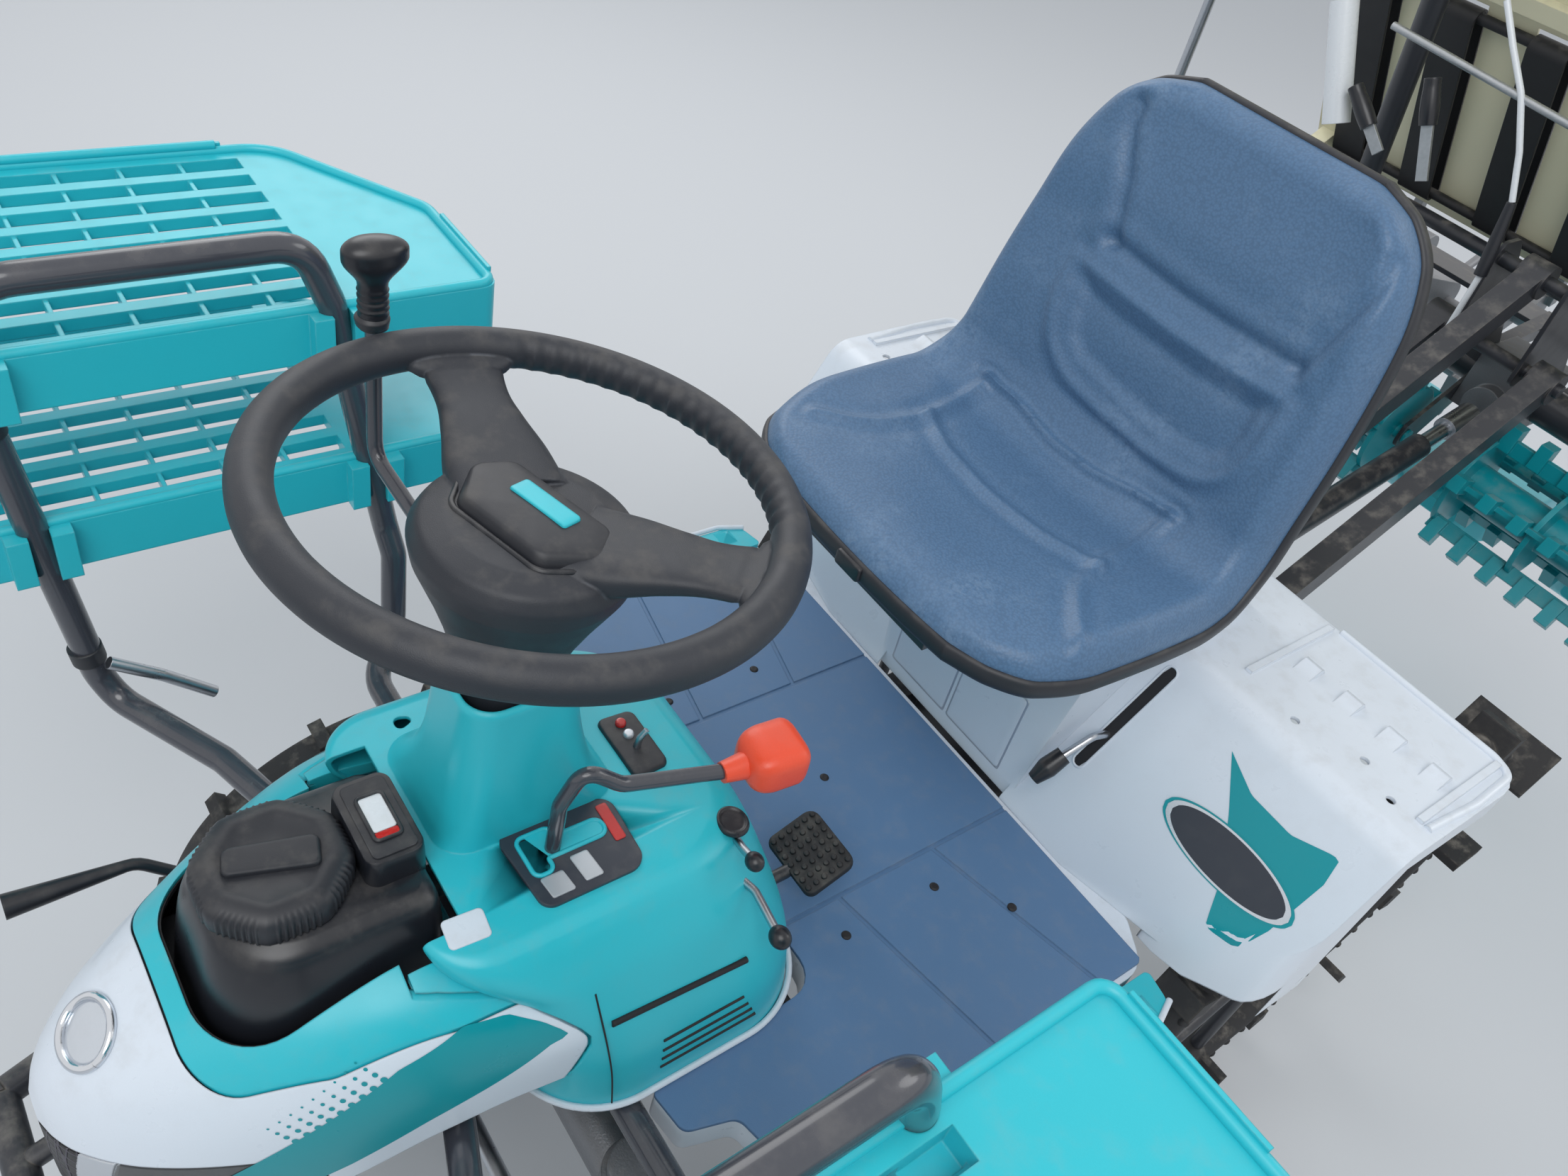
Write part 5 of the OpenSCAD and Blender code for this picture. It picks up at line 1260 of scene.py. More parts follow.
# Jogged slot of the shift gate
GATE_SLOT = fillet([[48, 128, 5], [84, 128, 5], [84, 142, 5], [72, 142, 3], [72, 196, 6],
                    [58, 196, 6], [58, 156, 3], [48, 156, 5]], 5)


def build_dash():
    build_dash_body()
    build_dash_plates()
    build_gate()
    build_switch_panel()
    build_dash_sides()
    build_side_levers()


def build_dash_body():
    dash = piece("dash_teal", *dash_form(0, 0, 206), TEAL, "dash_cover")
    carve(dash, *dash_form(DASH_WALL, -8, 206 - DASH_WALL))
    hump = hump_form(0, 190, 364)
    carve(dash, *hump, operation="UNION")
    carve(dash, *hump_form(DASH_WALL, 120, 380))
    carve(dash, *hood_block(-2.5, 24, -240, SEAM_Y + 2))
    # Shoulders that carry on the form of the bonnet, and the recess for its tails
    shoulders = piece("dash_shoulders", *hood_block(0, 0, SEAM_Y + 3, 150, 24), TEAL, "dash_cover")
    carve(shoulders, *hood_block(12, 10, -20, 180, 24))
    carve(shoulders, *box(-100, 100, 0, 200, FLOOR - 50, FLOOR + 300))
    recess = piece("tail_recess", *hood_block(-9, 0, -10, 152, 24), TEAL, "dash_cover")
    carve(recess, *hood_block(7, -10, -20, 180, 24))
    edge = grown([(-20, 752)] + TAIL_EDGE + [(-20, 520)], 2.6)
    carve(recess, *slab(edge, -300, 300, place=side_view), operation="INTERSECT")
    carve_with(shoulders, recess, keep=True)
    carve_with(dash, recess)
    carve(dash, *box(-96, 96, 0, 62, FLOOR + 30, FLOOR + 300))
    carve(dash, *box(-260, 260, 0, 98, FLOOR - 50, FLOOR + 100))
    carve(dash, *slab(grown(GATE_SLOT, 3.4), DASH_TOP - 30, DASH_TOP + 4))
    # Three-cornered hole near the right edge, with its bare plate beside it
    carve(dash, *slab(fillet([[-116, 92, 6], [-98, 92, 5], [-108, 116, 5]], 6), DASH_TOP - 40,
                      DASH_TOP + 10))
    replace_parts(dash, "dash_cover")


def build_dash_plates():
    """Label plates, left bare."""
    plate = fillet([[-122, 128, 8], [-92, 134, 8], [-96, 178, 8], [-122, 172, 8]], 5)
    piece("dash_plate_right", *domed(plate, DASH_TOP - 0.5, DASH_TOP + 1, 0.8, 0.1, level),
          LABEL_DARK, "dash_cover")
    plate = [(99 + a, 62 + b) for a, b in fillet([[-14, -15, 4], [12, -18, 4], [14, 15, 4],
                                                   [-12, 18, 4]], 5)]
    piece("dash_plate_left", *slab(plate, DASH_TOP - 1, DASH_TOP + 0.7), WHITE, "dash_cover")


def build_gate():
    """Shift gate: dark plate with a teal-rimmed slot, two bare silver plates and a red one."""
    gate = slab(GATE, DASH_TOP - 1, DASH_TOP + 3.2, holes=[GATE_SLOT[::-1]])
    piece("gate_plate", *gate, LABEL_DARK, "dash_cover")
    rim = [(x, y, DASH_TOP + 3.4) for x, y in grown(GATE_SLOT, 1.4)]
    piece("gate_rim", *closed_pipe(rim, 2.0, 10), TEAL, "dash_cover")
    for name, outline, material in (
            ("gate_silver", [(88, 128), (108, 130), (108, 150), (88, 148)], SATIN_PLATE),
            ("gate_silver_low", [(80, 158), (106, 160), (106, 176), (80, 174)], SATIN_PLATE),
            ("gate_red", [(46, 200), (84, 199), (84, 209), (46, 210)], REFLECTOR)):
        plate = fillet([[x, y, 2] for x, y in outline], 3)
        piece(name, *slab(plate, DASH_TOP + 3.1, DASH_TOP + 4.0), material, "dash_cover")


def build_switch_panel():
    """Panel behind the column, with a toggle and two lamps."""
    panel = fillet([[-36, 246, 7], [36, 246, 7], [34, 282, 8], [-34, 282, 8]], 6)
    piece("switch_panel", *domed(panel, DASH_TOP - 1, DASH_TOP + 4, 3, 0.3, level), BLACK,
          "dash_cover")
    toggle = soft_path([(6, 264, DASH_TOP + 3), (6, 266, DASH_TOP + 14),
                        (6, 272, DASH_TOP + 22)], 6)
    piece("switch_toggle", *pipe(toggle, lambda t: lerp(3.6, 2.6, t), 12), ZINC, "dash_cover")
    for x in (-22, -8):
        lamp = spun(softened([(0.3, 5), (4, 5), (5, 3), (5, 0), (0.3, 0)], 1),
                    lambda a, b, c: (x + a, 264 + b, DASH_TOP + 3 + c), 20)
        piece("switch_lamp_%d" % abs(x), *lamp, REFLECTOR if x < -10 else SATIN_PLATE, "dash_cover")


def build_dash_sides():
    """Seams, slots and parallel grooves of the sides, drawn as near-black lines: painted shade."""
    for side, name in SIDES:
        def side_place(y, h, lift, side=side):
            return (side * (along(h, DASH_ROWS)[0] + lift), y, FLOOR + h)

        slot_line = [side_place(y, 118 - (y - 150) * 0.05, 0.2) for y in np.linspace(150, 282, 30)]
        piece("dash_slot_" + name, *pipe(slot_line, 3.0, 8), DARK_SHADE_AND_SCREWS, "dash_cover")
        for k in range(4):
            line = [side_place(y, 34 + k * 13, 0.1) for y in np.linspace(196, 296 - k * 6, 24)]
            piece("dash_groove_%s_%d" % (name, k), *pipe(line, 1.5, 8), DARK_SHADE_AND_SCREWS, "dash_cover")
        curve = [side_place(lerp(150, 140, t), lerp(18, 150, t), 0.1)
                 for t in np.linspace(0, 1, 30)]
        piece("dash_seam_" + name, *pipe(curve, 0.8, 8), DARK_SHADE_AND_SCREWS, "dash_cover")
        base = [(x, y, FLOOR + 5) for x, y, _ in dash_ring(3, -2.5) if side * x > 0]
        base.sort(key=lambda p: math.atan2(p[1] - 240, side * p[0]))
        piece("dash_base_" + name, *pipe(base, 3.2, 8), WHITE, "dash_cover")


def build_side_levers():
    """Rear left corner of the dash: two small levers out of the side, and a socket."""
    for name, path, tip, half in (
            ("hand", [(118, 292, -46), (158, 298, -40), (196, 293, -41)], (204, 292, -41), 9.5),
            ("choke", [(112, 300, -16), (134, 294, -6), (150, 291, 2)], (154, 290, 4), 8)):
        path = soft_path([(x, y, DASH_TOP + z) for x, y, z in path], 16)
        tube("side_lever_" + name, path, 3.8, 12, ZINC, "dash_cover")
        turns = [math.pi * k / 14 for k in range(15)]
        ball = spun([(half * math.sin(a) + 0.01, -half * math.cos(a)) for a in turns],
                    lambda a, b, c: (tip[0] + c * 1.15, tip[1] + a, DASH_TOP + tip[2] + b), 22)
        piece("side_knob_" + name, *ball, BLACK_GLOSS, "dash_cover")
    socket = spun(softened([(0.4, 1), (11, 1), (14, 3), (16, 0), (16, -3), (0.4, -3)], 1.5),
                  lambda a, b, c: (108 + a, 300 + b * 0.9, DASH_TOP - 3 + c), 32)
    piece("dash_socket", *socket, BLACK_GLOSS, "dash_cover")


def build_column():
    profile = [(14, -136), (33, -136), (34, -138), (34, -196), (34, -384), (14, -384)]
    column = piece("column_cover", *spun(profile, on_steer, 56), BLACK, "steering_column")
    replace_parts(column, "steering_column")
    for z in (-150, -215):
        ring = spun(softened([(33, 3), (36.2, 3), (36.2, -3), (33, -3)], 1),
                    lambda a, b, c: on_steer(a, b, z + c), 56)
        piece("column_ring_%d" % abs(z), *ring, BLACK_GLOSS, "steering_column")
    # Flange inside the hump, as on the part
    flange = [hump_ring(h, 4.6) for h in (192, 200)]
    piece("column_flange", *skin(flange), BLACK, "steering_column")


def rounded_knob(place, half, long, soft):
    """A box with well-rounded edges: half sizes across and up, and its length."""
    rings = []
    for k in range(25):
        t = k / 24
        run = t * long
        near = min(run, long - run)
        shrink = soft * (1 - math.sqrt(max(0.0, 1 - (1 - min(near / soft, 1)) ** 2)))
        a, b = half[0] - shrink, half[1] - shrink
        taper = lerp(0.86, 1.0, smoothstep(0, 0.4, t))
        rings.append([place(run, a * taper * bulged(c, 0.5), b * taper * bulged(s, 0.5))
                      for c, s in circle(40)])
    return skin(rings)


def build_shift_lever():
    """A hairpin out of the gate that ends in the orange-red knob."""
    path = soft_path([(65, 150, DASH_TOP - 40), (67, 152, DASH_TOP + 60), (72, 166, DASH_TOP + 102),
                      (82, 196, DASH_TOP + 78), (98, 286, DASH_TOP + 62)], 26)
    shift = tube("shift_lever_rod", path, 6.6, 20, TUBE, "shift_lever")
    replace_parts(shift, "shift_lever")
    start, way = np.array([98.0, 282.0, DASH_TOP + 62]), unit(np.array([0.1, 0.99, 0.02]))
    across, up = square_to(way)
    neck = pipe([start, start + way * 26], lambda t: lerp(9, 12.5, t), 20)
    piece("shift_neck", *neck, RED_KNOB, "shift_lever")
    knob = rounded_knob(lambda r, a, b: tuple(start + way * (20 + r) + across * a + up * b),
                        (26, 22), 54, 12)
    piece("shift_knob", *knob, RED_KNOB, "shift_lever", sharp=70)
    block = domed(fillet([[46, 118, 8], [89, 118, 8], [89, 200, 8], [46, 200, 8]], 5),
                  DASH_TOP - 46, DASH_TOP - 6, 4, 0.1, level)
    piece("shift_block", *block, BLACK, "shift_lever")


def build_planting_lever():
    knee = (-202, 118, STEER_Z - 112)
    path = soft_path([(-36, STEER_Y - 12, STEER_Z - 150), knee, (-216, 125, STEER_Z + 34)], 22)
    planting = tube("planting_lever_rod", path, 6.2, 18, TUBE, "planting_lever")
    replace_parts(planting, "planting_lever")
    # Pistol grip: a ribbed neck that turns over into a head lying front to rear
    rings = []
    for k in range(49):
        t = k / 48
        head = smoothstep(0.5, 0.78, t)
        close = math.sqrt(max(0.015, 1 - max(0, (t - 0.86) / 0.14) ** 2))
        grip = 0.7 * math.sin(t * 90) * smoothstep(0.06, 0.12, t) * (1 - smoothstep(0.42, 0.5, t))
        wide = (lerp(10.5, 15, head) + grip) * close
        front = (lerp(11, 22, head) + grip) * close
        rear = (lerp(11, 27, head) + grip) * close
        z = STEER_Z - 4 + 72 * t
        rings.append([(-216 + wide * c, 125 + (rear if s > 0 else front) * s, z)
                      for c, s in circle(40)])
    piece("planting_grip", *skin(rings), BLACK_GLOSS, "planting_lever", sharp=60)
    collar = spun(softened([(7, 0), (12, 0), (13, 6), (9, 10), (7, 10)], 1.5),
                  lambda a, b, c: (-216 + a, 124 + b, STEER_Z - 2 + c), 28)
    piece("planting_collar", *collar, BLACK, "planting_lever")


def build_pedal():
    """Pad with studs, and its arm."""
    def on_pedal(a, b, c):
        turn = math.radians(24)
        return (60 + a, 407 + b * math.cos(turn) - c * math.sin(turn),
                FLOOR + 40 + b * math.sin(turn) + c * math.cos(turn))

    pad = fillet([[0, 0, 9], [76, 0, 9], [76, 60, 12], [0, 60, 12]], 5)
    pedal = piece("pedal_pad", *domed(pad, 0, 6.5, 2, 0.3, on_pedal), BELT, "pedals")
    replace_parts(pedal, "pedals")
    stud = softened([(0.3, 3), (2.6, 3), (3.4, 0), (0.3, 0)], 0.8)
    studs = [spun(stud, lambda a, b, c: on_pedal(x + a, y + b, 6.4 + c), 10)
             for x in [8 + i * 10 for i in range(7)] for y in [6 + j * 9.6 for j in range(6)]]
    piece("pedal_studs", *together(*studs), BELT, "pedals")
    arm = soft_path([(98, 375, FLOOR + 40), (98, 404, FLOOR + 40), (98, 427, FLOOR + 46)], 14)
    piece("pedal_arm", *pipe(arm, 6.8, 16), FRAME, "pedals")


# Fuel cowl and cap

CAP_Y = -44.0
CAP_R = 58.0


def build_cowl():
    rows = [[96.5, 86, -118, 58, 60], [170, 82, -108, 58, 60], [200, 74, -100, 58, 58],
            [210, 68, -94, 56, 54], [216, 58, -84, 50, 46]]
    rings = []
    for h in list(np.linspace(96.5, 206, 36)) + [209, 212, 214, 215.4, 216]:
        half, front, rear, corner = along(h, rows)
        plan = [[-half, front, corner], [-half, rear, 16], [half, rear, 16], [half, front, corner]]
        rings.append([(x, y, FLOOR + h) for x, y in fillet(plan, 12)])
    cowl = piece("cowl_shell", *skin(rings), BLACK_GLOSS, "fuel_cowl", sharp=50)
    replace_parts(cowl, "fuel_cowl")
    block = domed(fillet([[-44, 10, 12], [44, 10, 12], [44, 59.5, 12], [-44, 59.5, 12]], 8),
                  FLOOR + 150, FLOOR + 242, 4, 0.4, level)
    piece("gauge_block", *block, BLACK_GLOSS, "fuel_cowl")
    # Gauge plate: a window with a red end; the two screws beside it are not drawn
    top = FLOOR + 242.5
    for name, (x0, x1, y0, y1), corner, material, lift in (
            ("gauge_plate", (-36, 36, 18, 53), 5, BLACK, 0.6),
            ("gauge_window", (-20, 14, 26, 45), 3, WHITE_PAINT, 1.2),
            ("gauge_red", (14.4, 21, 26, 45), 2, REFLECTOR, 1.2)):
        plate = fillet([[x0, y0, corner], [x1, y0, corner], [x1, y1, corner], [x0, y1, corner]], 5)
        piece(name, *slab(plate, top - 1, top + lift), material, "fuel_cowl")
    window = fillet([[-21, 25, 4], [22, 25, 4], [22, 46, 4], [-21, 46, 4]], 5)
    piece("gauge_frame", *closed_pipe([(x, y, top + 1.2) for x, y in window], 1.6, 8),
          BLACK_GLOSS, "fuel_cowl")


def build_cap():
    """Fuel cap: eight ribbed flats between rounded corners, and a sunk top with a bar."""
    rings = []
    for h, reach in ((0, 0.0), (1, 1.0), (4, 1.4), (14, 1.4), (19, 0.6), (22.5, -2.0), (25, -6.0),
                     (26.4, -11.0), (26.8, -16.0), (25.6, -18.0), (25.4, -40.0), (25.6, -56.5)):
        ring = []
        for k in range(480):
            a = TAU * k / 480
            fold = (a + TAU / 16) % (TAU / 8) - TAU / 16
            flat = CAP_R * math.cos(TAU / 16) / math.cos(fold)
            r = -math.log(math.exp(-flat / 1.6) + math.exp(-(CAP_R - 1.5) / 1.6)) * 1.6
            ribbed = 0 < h < 21 and abs(fold) < 0.3
            ribs = 1.1 * math.cos(TAU * 9 * fold / (TAU / 8)) if ribbed else 0
            reach_here = r + reach + ribs
            if reach < -15:
                share = (reach + 58) / 43
                reach_here = max(0.5, (r - 16) * max(share, 0.02))
            ring.append((reach_here * math.cos(a), CAP_Y + reach_here * math.sin(a),
                         FLOOR + 216.3 + h))
        rings.append(ring)
    cap = piece("cap_ribbed", *skin(rings), BLACK, "fuel_cap", sharp=55)
    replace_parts(cap, "fuel_cap")
    # Raised bar over the cap, with its plain middle
    bar = fillet([[-12, -34, 6], [12, -34, 6], [14, 34, 6], [-14, 34, 6]], 6)
    bar = domed(bar, FLOOR + 241, FLOOR + 246, 3, 0.3,
                lambda x, y, z: (x * 0.96 + y * 0.28, CAP_Y + y * 0.96 - x * 0.28, z))
    piece("cap_bar", *bar, BLACK, "fuel_cap")


# Racks, deck and floor

RACK_X = 422.0
RACK_TOP = FLOOR + 479
RACK_TUBE = 13.5
RAIL_X = 95.0
REAR_Y = 1095.0
WHEEL_X = 385.0
REAR_R = 384.0
DECK_Z = FLOOR + 232


def build_racks():
    corners = [(RAIL_X + 6, 38, FLOOR + 8), (150, 38, FLOOR + 8), (289, -8, FLOOR + 8),
               (RACK_X - 16, -72, FLOOR + 10), (RACK_X, -84, FLOOR + 40),
               (RACK_X, -126, RACK_TOP - 60), (RACK_X, -104, RACK_TOP), (RACK_X, 144, RACK_TOP),
               (RACK_X, 166, RACK_TOP - 60), (RACK_X, 212, FLOOR + 140),
               (RACK_X - 14, 216, FLOOR + 106), (392, 208, FLOOR + 14), (352, 170, FLOOR - 18),
               (RAIL_X + 6, 170, FLOOR - 18)]
    for side, name in SIDES:
        path = soft_path([(side * x, y, z) for x, y, z in corners], 42)
        rack = tube("rack_tube_" + name, path, RACK_TUBE, 32, TUBE, "rack_frames")
        if side > 0:
            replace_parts(rack, "rack_frames")
        # Zinc brace from the front leg to the floor, and the leg's clamps
        low, high = np.array([side * 392, 14, FLOOR - 6]), np.array([side * 404, -74, FLOOR + 66])
        brace = pipe(soft_path([low, (low + high) / 2 + np.array([0, 0, 4]), high], 30), 6.5, 16)
        piece("rack_brace_" + name, *brace, ZINC, "rack_frames", sharp=60)
        for z in (70, 352):
            clamp = [(side * RACK_X, lerp(-84, -126, (z - 40) / 379), FLOOR + z - 9),
                     (side * RACK_X, lerp(-84, -126, (z - 22) / 379), FLOOR + z + 9)]
            piece("rack_clamp_%s_%d" % (name, z), *pipe(clamp, 15.6, 28), BLACK, "rack_frames")


def deck_front(x, z, lift=0.0):
    """A place on the sloping front of the rear cover, lifted off it."""
    slope = 711 + 0.53 * (z - FLOOR)
    plan = float(np.interp(abs(x), [0, 170, 330, 415, 430, 449], [701, 701, 737, 756, 764, 790]))
    if slope > plan:
        return (x, slope - 0.883 * lift, z + 0.468 * lift)
    return (x, plan - lift, z)


DECK_BADGE = (336.0, 699.0)
# Curved three-cornered decal of the deck: [x, height]
DECK_SWOOSH = [(267, 775), (310, 758), (362, 756), (412, 772), (414, 744), (411, 688), (398, 642),
               (365, 640), (344, 684), (306, 732)]


def build_rear_cover():
    smooth_copy("rear_cover")
    swoosh = softened(DECK_SWOOSH + DECK_SWOOSH[:1], 12)[:-1]
    for side, name in SIDES:
        def on_front(x, z, lift, side=side):
            place = deck_front(x, z, lift)
            return (side * place[0], place[1], place[2])

        rim = soft_path([(side * 438, 880, DECK_Z - 0.5), (side * 446, 960, DECK_Z),
                         (side * 444, 1034, DECK_Z), (side * 420, 1043, DECK_Z),
                         (side * 225, 1043, DECK_Z)], 30)
        tube("deck_border_" + name, rim, 4.6, 14, WHITE, "rear_cover")
        # Swoosh in the darkened decal teal: painted shade
        piece("deck_swoosh_" + name, *surface_patch(swoosh, on_front, 0.5), TEAL_DECAL_SHADED,
              "rear_cover", sharp=60)
        # Oval badge left blank: a teal line in the darkened decal teal (painted shade), a silver
        # ring and a dark middle
        for scale, lift, material, label in ((1.0, 0.9, TEAL_DECAL_SHADED, "line"),
                                             (0.95, 1.6, BADGE_SILVER, "ring"),
                                             (0.87, 2.3, LABEL_DARK, "middle")):
            oval = [(DECK_BADGE[0] + 84 * scale * c,
                     DECK_BADGE[1] + (26 * scale - 2 * (1 - scale)) * s) for c, s in circle(96)]
            piece("deck_badge_%s_%s" % (label, name), *surface_patch(oval, on_front, lift, 14, 2.5),
                  material, "rear_cover", sharp=60)
    build_side_slot()
    build_pedestal()


def build_side_slot():
    """Slot of the side lever, and the lever: places [across, height, lift off the cover]."""
    slot = fillet([[148, 660, 7], [163, 660, 7], [176, 796, 7], [161, 796, 7]], 6)
    # Near-black patch over the slot: painted shade in its opening
    piece("side_slot", *surface_patch(slot, deck_front, 0.6), DARK_SHADE_AND_SCREWS, "rear_cover", sharp=60)
    edge = [deck_front(x, z, 0.8) for x, z in slot]
    piece("side_slot_edge", *closed_pipe(edge, 1.4, 8), WHITE, "rear_cover", sharp=60)
    rod = [(160, 706, -12), (158, 700, 26), (152, 668, 44)]
    rod = soft_path([deck_front(*place) for place in rod], 12)
    tube("side_lever_rod", rod, 4.4, 14, ZINC, "rear_cover")
    grip = [(152.4, 671, 42), (150, 652, 50), (148, 636, 54)]
    grip = pipe(soft_path([deck_front(*place) for place in grip], 20),
                lambda t: 7.5 + 4.5 * math.sin(min(1.0, 0.2 + t * 0.8) * math.pi), 22)
    piece("side_lever_grip", *grip, BLACK_GLOSS, "rear_cover", sharp=60)


def build_pedestal():
    """Front of the pedestal: a plain plate in two fields, and the red reflector."""
    def on_pedestal(a, b, c):
        return (a, 721 - (b - FLOOR) * 9 / 306 - c, b)

    for lift, inset, material, label, fields in (
            (0.8, 0, SATIN_PLATE, "frame", [(-104, -6), (-2, 92)]),
            (1.2, 2.5, WHITE, "field", [(-101.5, -8.5), (0, 89.5)])):
        for k, (x0, x1) in enumerate(fields):
            plate = domed(fillet([[x0, 596 + inset, 4], [x1, 596 + inset, 4], [x1, 716 - inset, 4],
                                  [x0, 716 - inset, 4]], 4), 0, lift, 0.5, 0.05, on_pedestal)
            piece("pedestal_%s_%d" % (label, k), *plate, material, "rear_cover")
    reflector = spun(softened([(0.4, 4.5), (13, 4.5), (15.5, 2.5), (16, -1), (0.4, -1)], 1.2),
                     lambda a, b, c: on_pedestal(-96 + a, 752 + b, c), 36)
    piece("pedestal_reflector", *reflector, REFLECTOR, "rear_cover")


def build_floor():
    smooth_copy("floor_mat")
    smooth_copy("floor_pan")
    smooth_copy("side_steps", sharp=26)
    # Screws that hold the mat
    profile = softened([(0.3, 1.2), (3.4, 1.6), (5.2, 0.4), (5.4, -0.5), (0.3, -0.5)], 0.5)
    for k, (x, y) in enumerate(((-170, 440), (170, 440), (-170, 560), (170, 560), (0, 540),
                                (230, 620), (-230, 620))):
        screw = spun(profile, lambda a, b, c: (x + a, y + b, FLOOR + c), 16)
        piece("mat_screw_%d" % k, *screw, DARK_SHADE_AND_SCREWS, "floor_mat")
    trims = []
    for side, _ in SIDES:
        line = soft_path([(side * 402, 384, FLOOR + 1), (side * 405, 420, FLOOR + 1),
                          (side * 405, 660, FLOOR + 1), (side * 392, 694, FLOOR + 1)], 24)
        trims.append(pipe(line, 3.4, 10))
    piece("step_trims", *together(*trims), WHITE, "side_steps", sharp=60)


# Lugs of a rear wheel: the ring of its rubber tube, and how far out and how far over they stand
LUG_RING = REAR_R - 56
LUG_OUT = 21.5
LUG_LEAN = math.radians(58)
LUG_PLACES = 64
LUGS_PER_PADDLE = 4


def build_wheels():
    for name in ("front_rim", "front_tyre", "rear_rim", "rear_tyre"):
        for side in ("left", "right"):
            smooth_copy("%s_%s" % (name, side), sharp=30)
    # Rear wheels: rounded lugs on both flanks of the rubber ring, left out where a paddle stands
    profile = softened([(0.3, 5), (4, 5), (6.5, 3), (8, -3), (0.3, -3)], 1.2)
    for side, name in SIDES:
        lugs = []
        for k in range(LUG_PLACES):
            if k % LUGS_PER_PADDLE == 0:
                continue
            a = TAU * k / LUG_PLACES
            for turn in (-1, 1):
                b = turn * LUG_LEAN

                def on_flank(p, q, r):
                    reach = LUG_RING + LUG_OUT * math.cos(b) + r * math.cos(b) - q * math.sin(b)
                    return (side * WHEEL_X + LUG_OUT * math.sin(b) + q * math.cos(b)
                            + r * math.sin(b),
                            REAR_Y + reach * math.cos(a) - p * math.sin(a),
                            REAR_R + reach * math.sin(a) + p * math.cos(a))

                lugs.append(spun(profile, on_flank, 8))
        piece("rear_lugs_" + name, *together(*lugs), RUBBER, "rear_tyre_" + name, sharp=40)


# Levers, cables and small parts at the rear, on the planting section and beside the nose

def rubber_grip(name, start, end, radius, node):
    """A ribbed rubber grip over the end of a bar."""
    path = [lerp(start, end, k / 24) for k in range(25)]
    form = pipe(path, lambda t: radius * (0.86 + 0.14 * math.sin(min(1, t * 1.1 + 0.1) * math.pi))
                + 0.5 * math.sin(t * 75), 20)
    return piece(name, *form, BLACK_GLOSS, node, sharp=70)


# Cables that hang at the rear: name, finish, radius and places [x, height] before the frame
REAR_PLANE = 1600.0
REAR_CABLES = [("upper", WHITE_PAINT, 4.2,
                [(-214, 1319), (-176, 1276), (-134, 1232), (-96, 1172), (-69, 1116)]),
               ("boot_upper", BLACK, 9.0, [(-69, 1116), (-60, 1066), (-52, 1018)]),
               ("lower", WHITE_PAINT, 4.2, [(-52, 1018), (-50, 940), (-52, 853)]),
               ("boot_lower", BLACK, 8.5, [(6, 1027), (-12, 998), (-30, 962)]),
               ("side", WHITE_PAINT, 4.2, [(-30, 962), (-48, 938), (-57, 917)])]


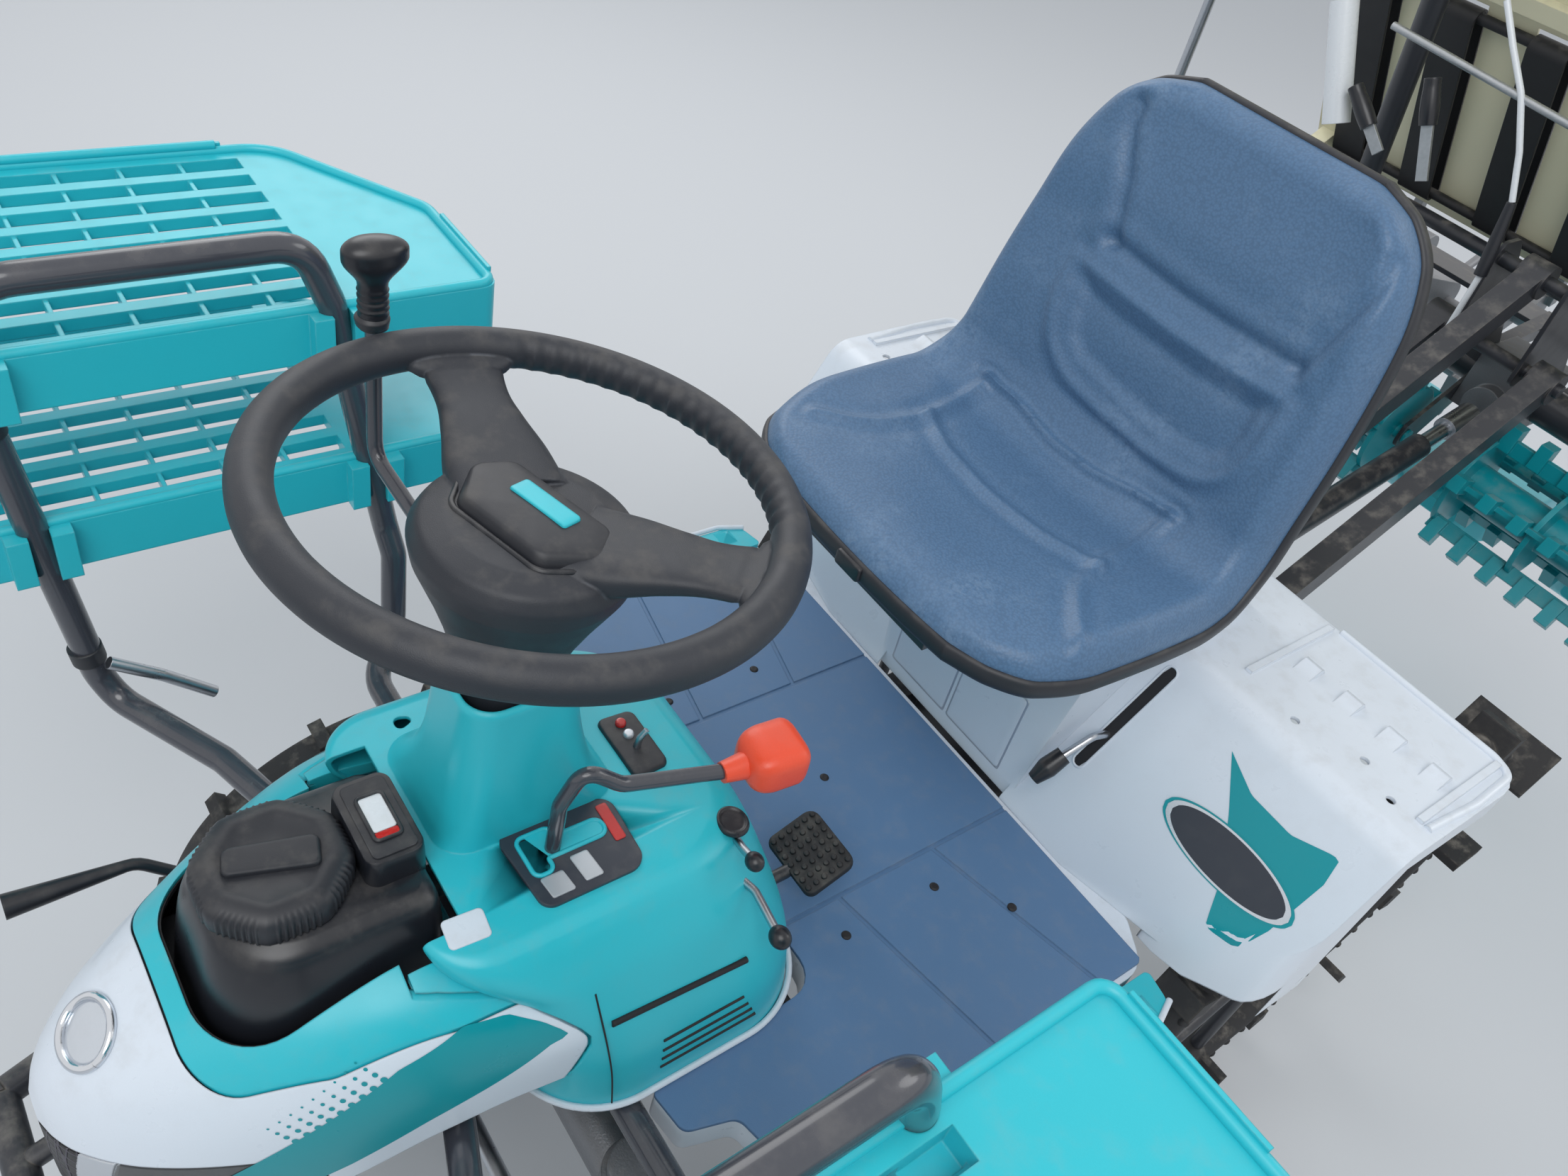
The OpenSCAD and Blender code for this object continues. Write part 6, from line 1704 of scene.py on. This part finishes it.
def build_rear_details():
    node = "planting_frame"
    piece("rear_tube", *pipe([(-419, REAR_PLANE, 1243), (-345, REAR_PLANE, 1099)], 19.5, 32),
          WHITE_PAINT, node, sharp=60)
    for name, (gx, gz), (bx, bz) in (("outer", (-317, 1141), (-260, 1096)),
                                      ("inner", (-231, 1186), (-184, 1091))):
        way = unit(np.array([gx - bx, 0, gz - bz], float))
        tip, foot = np.array([gx, REAR_PLANE - 14, gz]), np.array([bx, REAR_PLANE - 14, bz])
        across = np.array([way[2], 0, -way[0]])
        bar = [[tuple(p + across * a + np.array([0, b, 0]))
                for a, b in ((-8, -2.5), (8, -2.5), (8, 2.5), (-8, 2.5))] for p in (foot, tip)]
        piece("rear_bar_" + name, *skin(bar), GALVANISED, node)
        rubber_grip("rear_grip_" + name, tip - way * 34, tip + way * 26, 12.5, node)
    piece("rear_rod", *pipe([(-340, REAR_PLANE + 8, 1239), (-60, REAR_PLANE + 8, 1224)], 5.2, 16),
          GALVANISED, node, sharp=60)
    for name, material, radius, points in REAR_CABLES:
        path = soft_path([(x, REAR_PLANE + 4, z) for x, z in points], 60)
        if "boot" in name:
            form = pipe(path, lambda t: radius * lerp(0.7, 1.0, smoothstep(0, 0.3, t))
                        + 0.9 * math.sin(t * 60), 22)
        else:
            form = pipe(path, radius, 14)
        piece("rear_cable_" + name, *form, material, node, sharp=70)
    # Flat black foot lever at the right of the nose
    path = soft_path([(-104, -40, 540), (-172, -70, 584), (-190, -112, 612), (-190, -215, 617)], 26)
    piece("nose_lever", *pipe(path, lambda t: lerp(5.6, 11.5, smoothstep(0.62, 0.74, t)), 20),
          BLACK_GLOSS, "chassis_frame", sharp=60)


# Seedling trays

# Top of each pair of trays, above the floor, and the ends of their plan
TRAY_TOPS = {"upper_trays": 412, "lower_trays": 237}
TRAY_LONG, TRAY_WIDE, TRAY_REAR = 640.0, 322.0, 330.0


def build_trays():
    inner, front = RACK_X - 4, TRAY_REAR - TRAY_LONG
    plan = fillet([[inner + 5, front + 5, 14], [inner + TRAY_WIDE - 5, front + 5, 38],
                   [inner + TRAY_WIDE - 5, TRAY_REAR - 113, 58], [inner + 158, TRAY_REAR - 5, 38],
                   [inner + 5, TRAY_REAR - 5, 14]], 8)
    for node, height in TRAY_TOPS.items():
        top = FLOOR + height
        trays = smooth_copy(node)
        # The walls end in a low rounded rim
        carve(trays, *box(-900, 900, -600, 900, top + 9, top + 80))
        for side, name in SIDES:
            rim = [(side * x, y, top + 1.5) for x, y in plan]
            piece("%s_rim_%s" % (node, name), *closed_pipe(rim, 5.0, 14), TEAL, node, sharp=60)
            wall = [(side * (inner + TRAY_WIDE - 5), y, top + 8)
                    for y in (front + 50, TRAY_REAR - 166)]
            piece("%s_wall_%s" % (node, name), *pipe(wall, 4.6, 14), TEAL, node, sharp=60)


def build_machine():
    build_steering_wheel()
    build_seat()
    build_bonnet()
    build_dash()
    build_column()
    build_shift_lever()
    build_planting_lever()
    build_pedal()
    build_cowl()
    build_cap()
    build_racks()
    build_trays()
    build_rear_cover()
    build_floor()
    build_wheels()
    build_rear_details()
    shown = set()
    for obj in bpy.context.scene.objects:
        shown.update(obj.get("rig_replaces", []))
    for name in NODES:
        if name not in shown:
            smooth_copy(name)


bpy.context.scene.view_settings.view_transform = "Standard"
dress_frame()
build_machine()
build_studio()
build_camera()
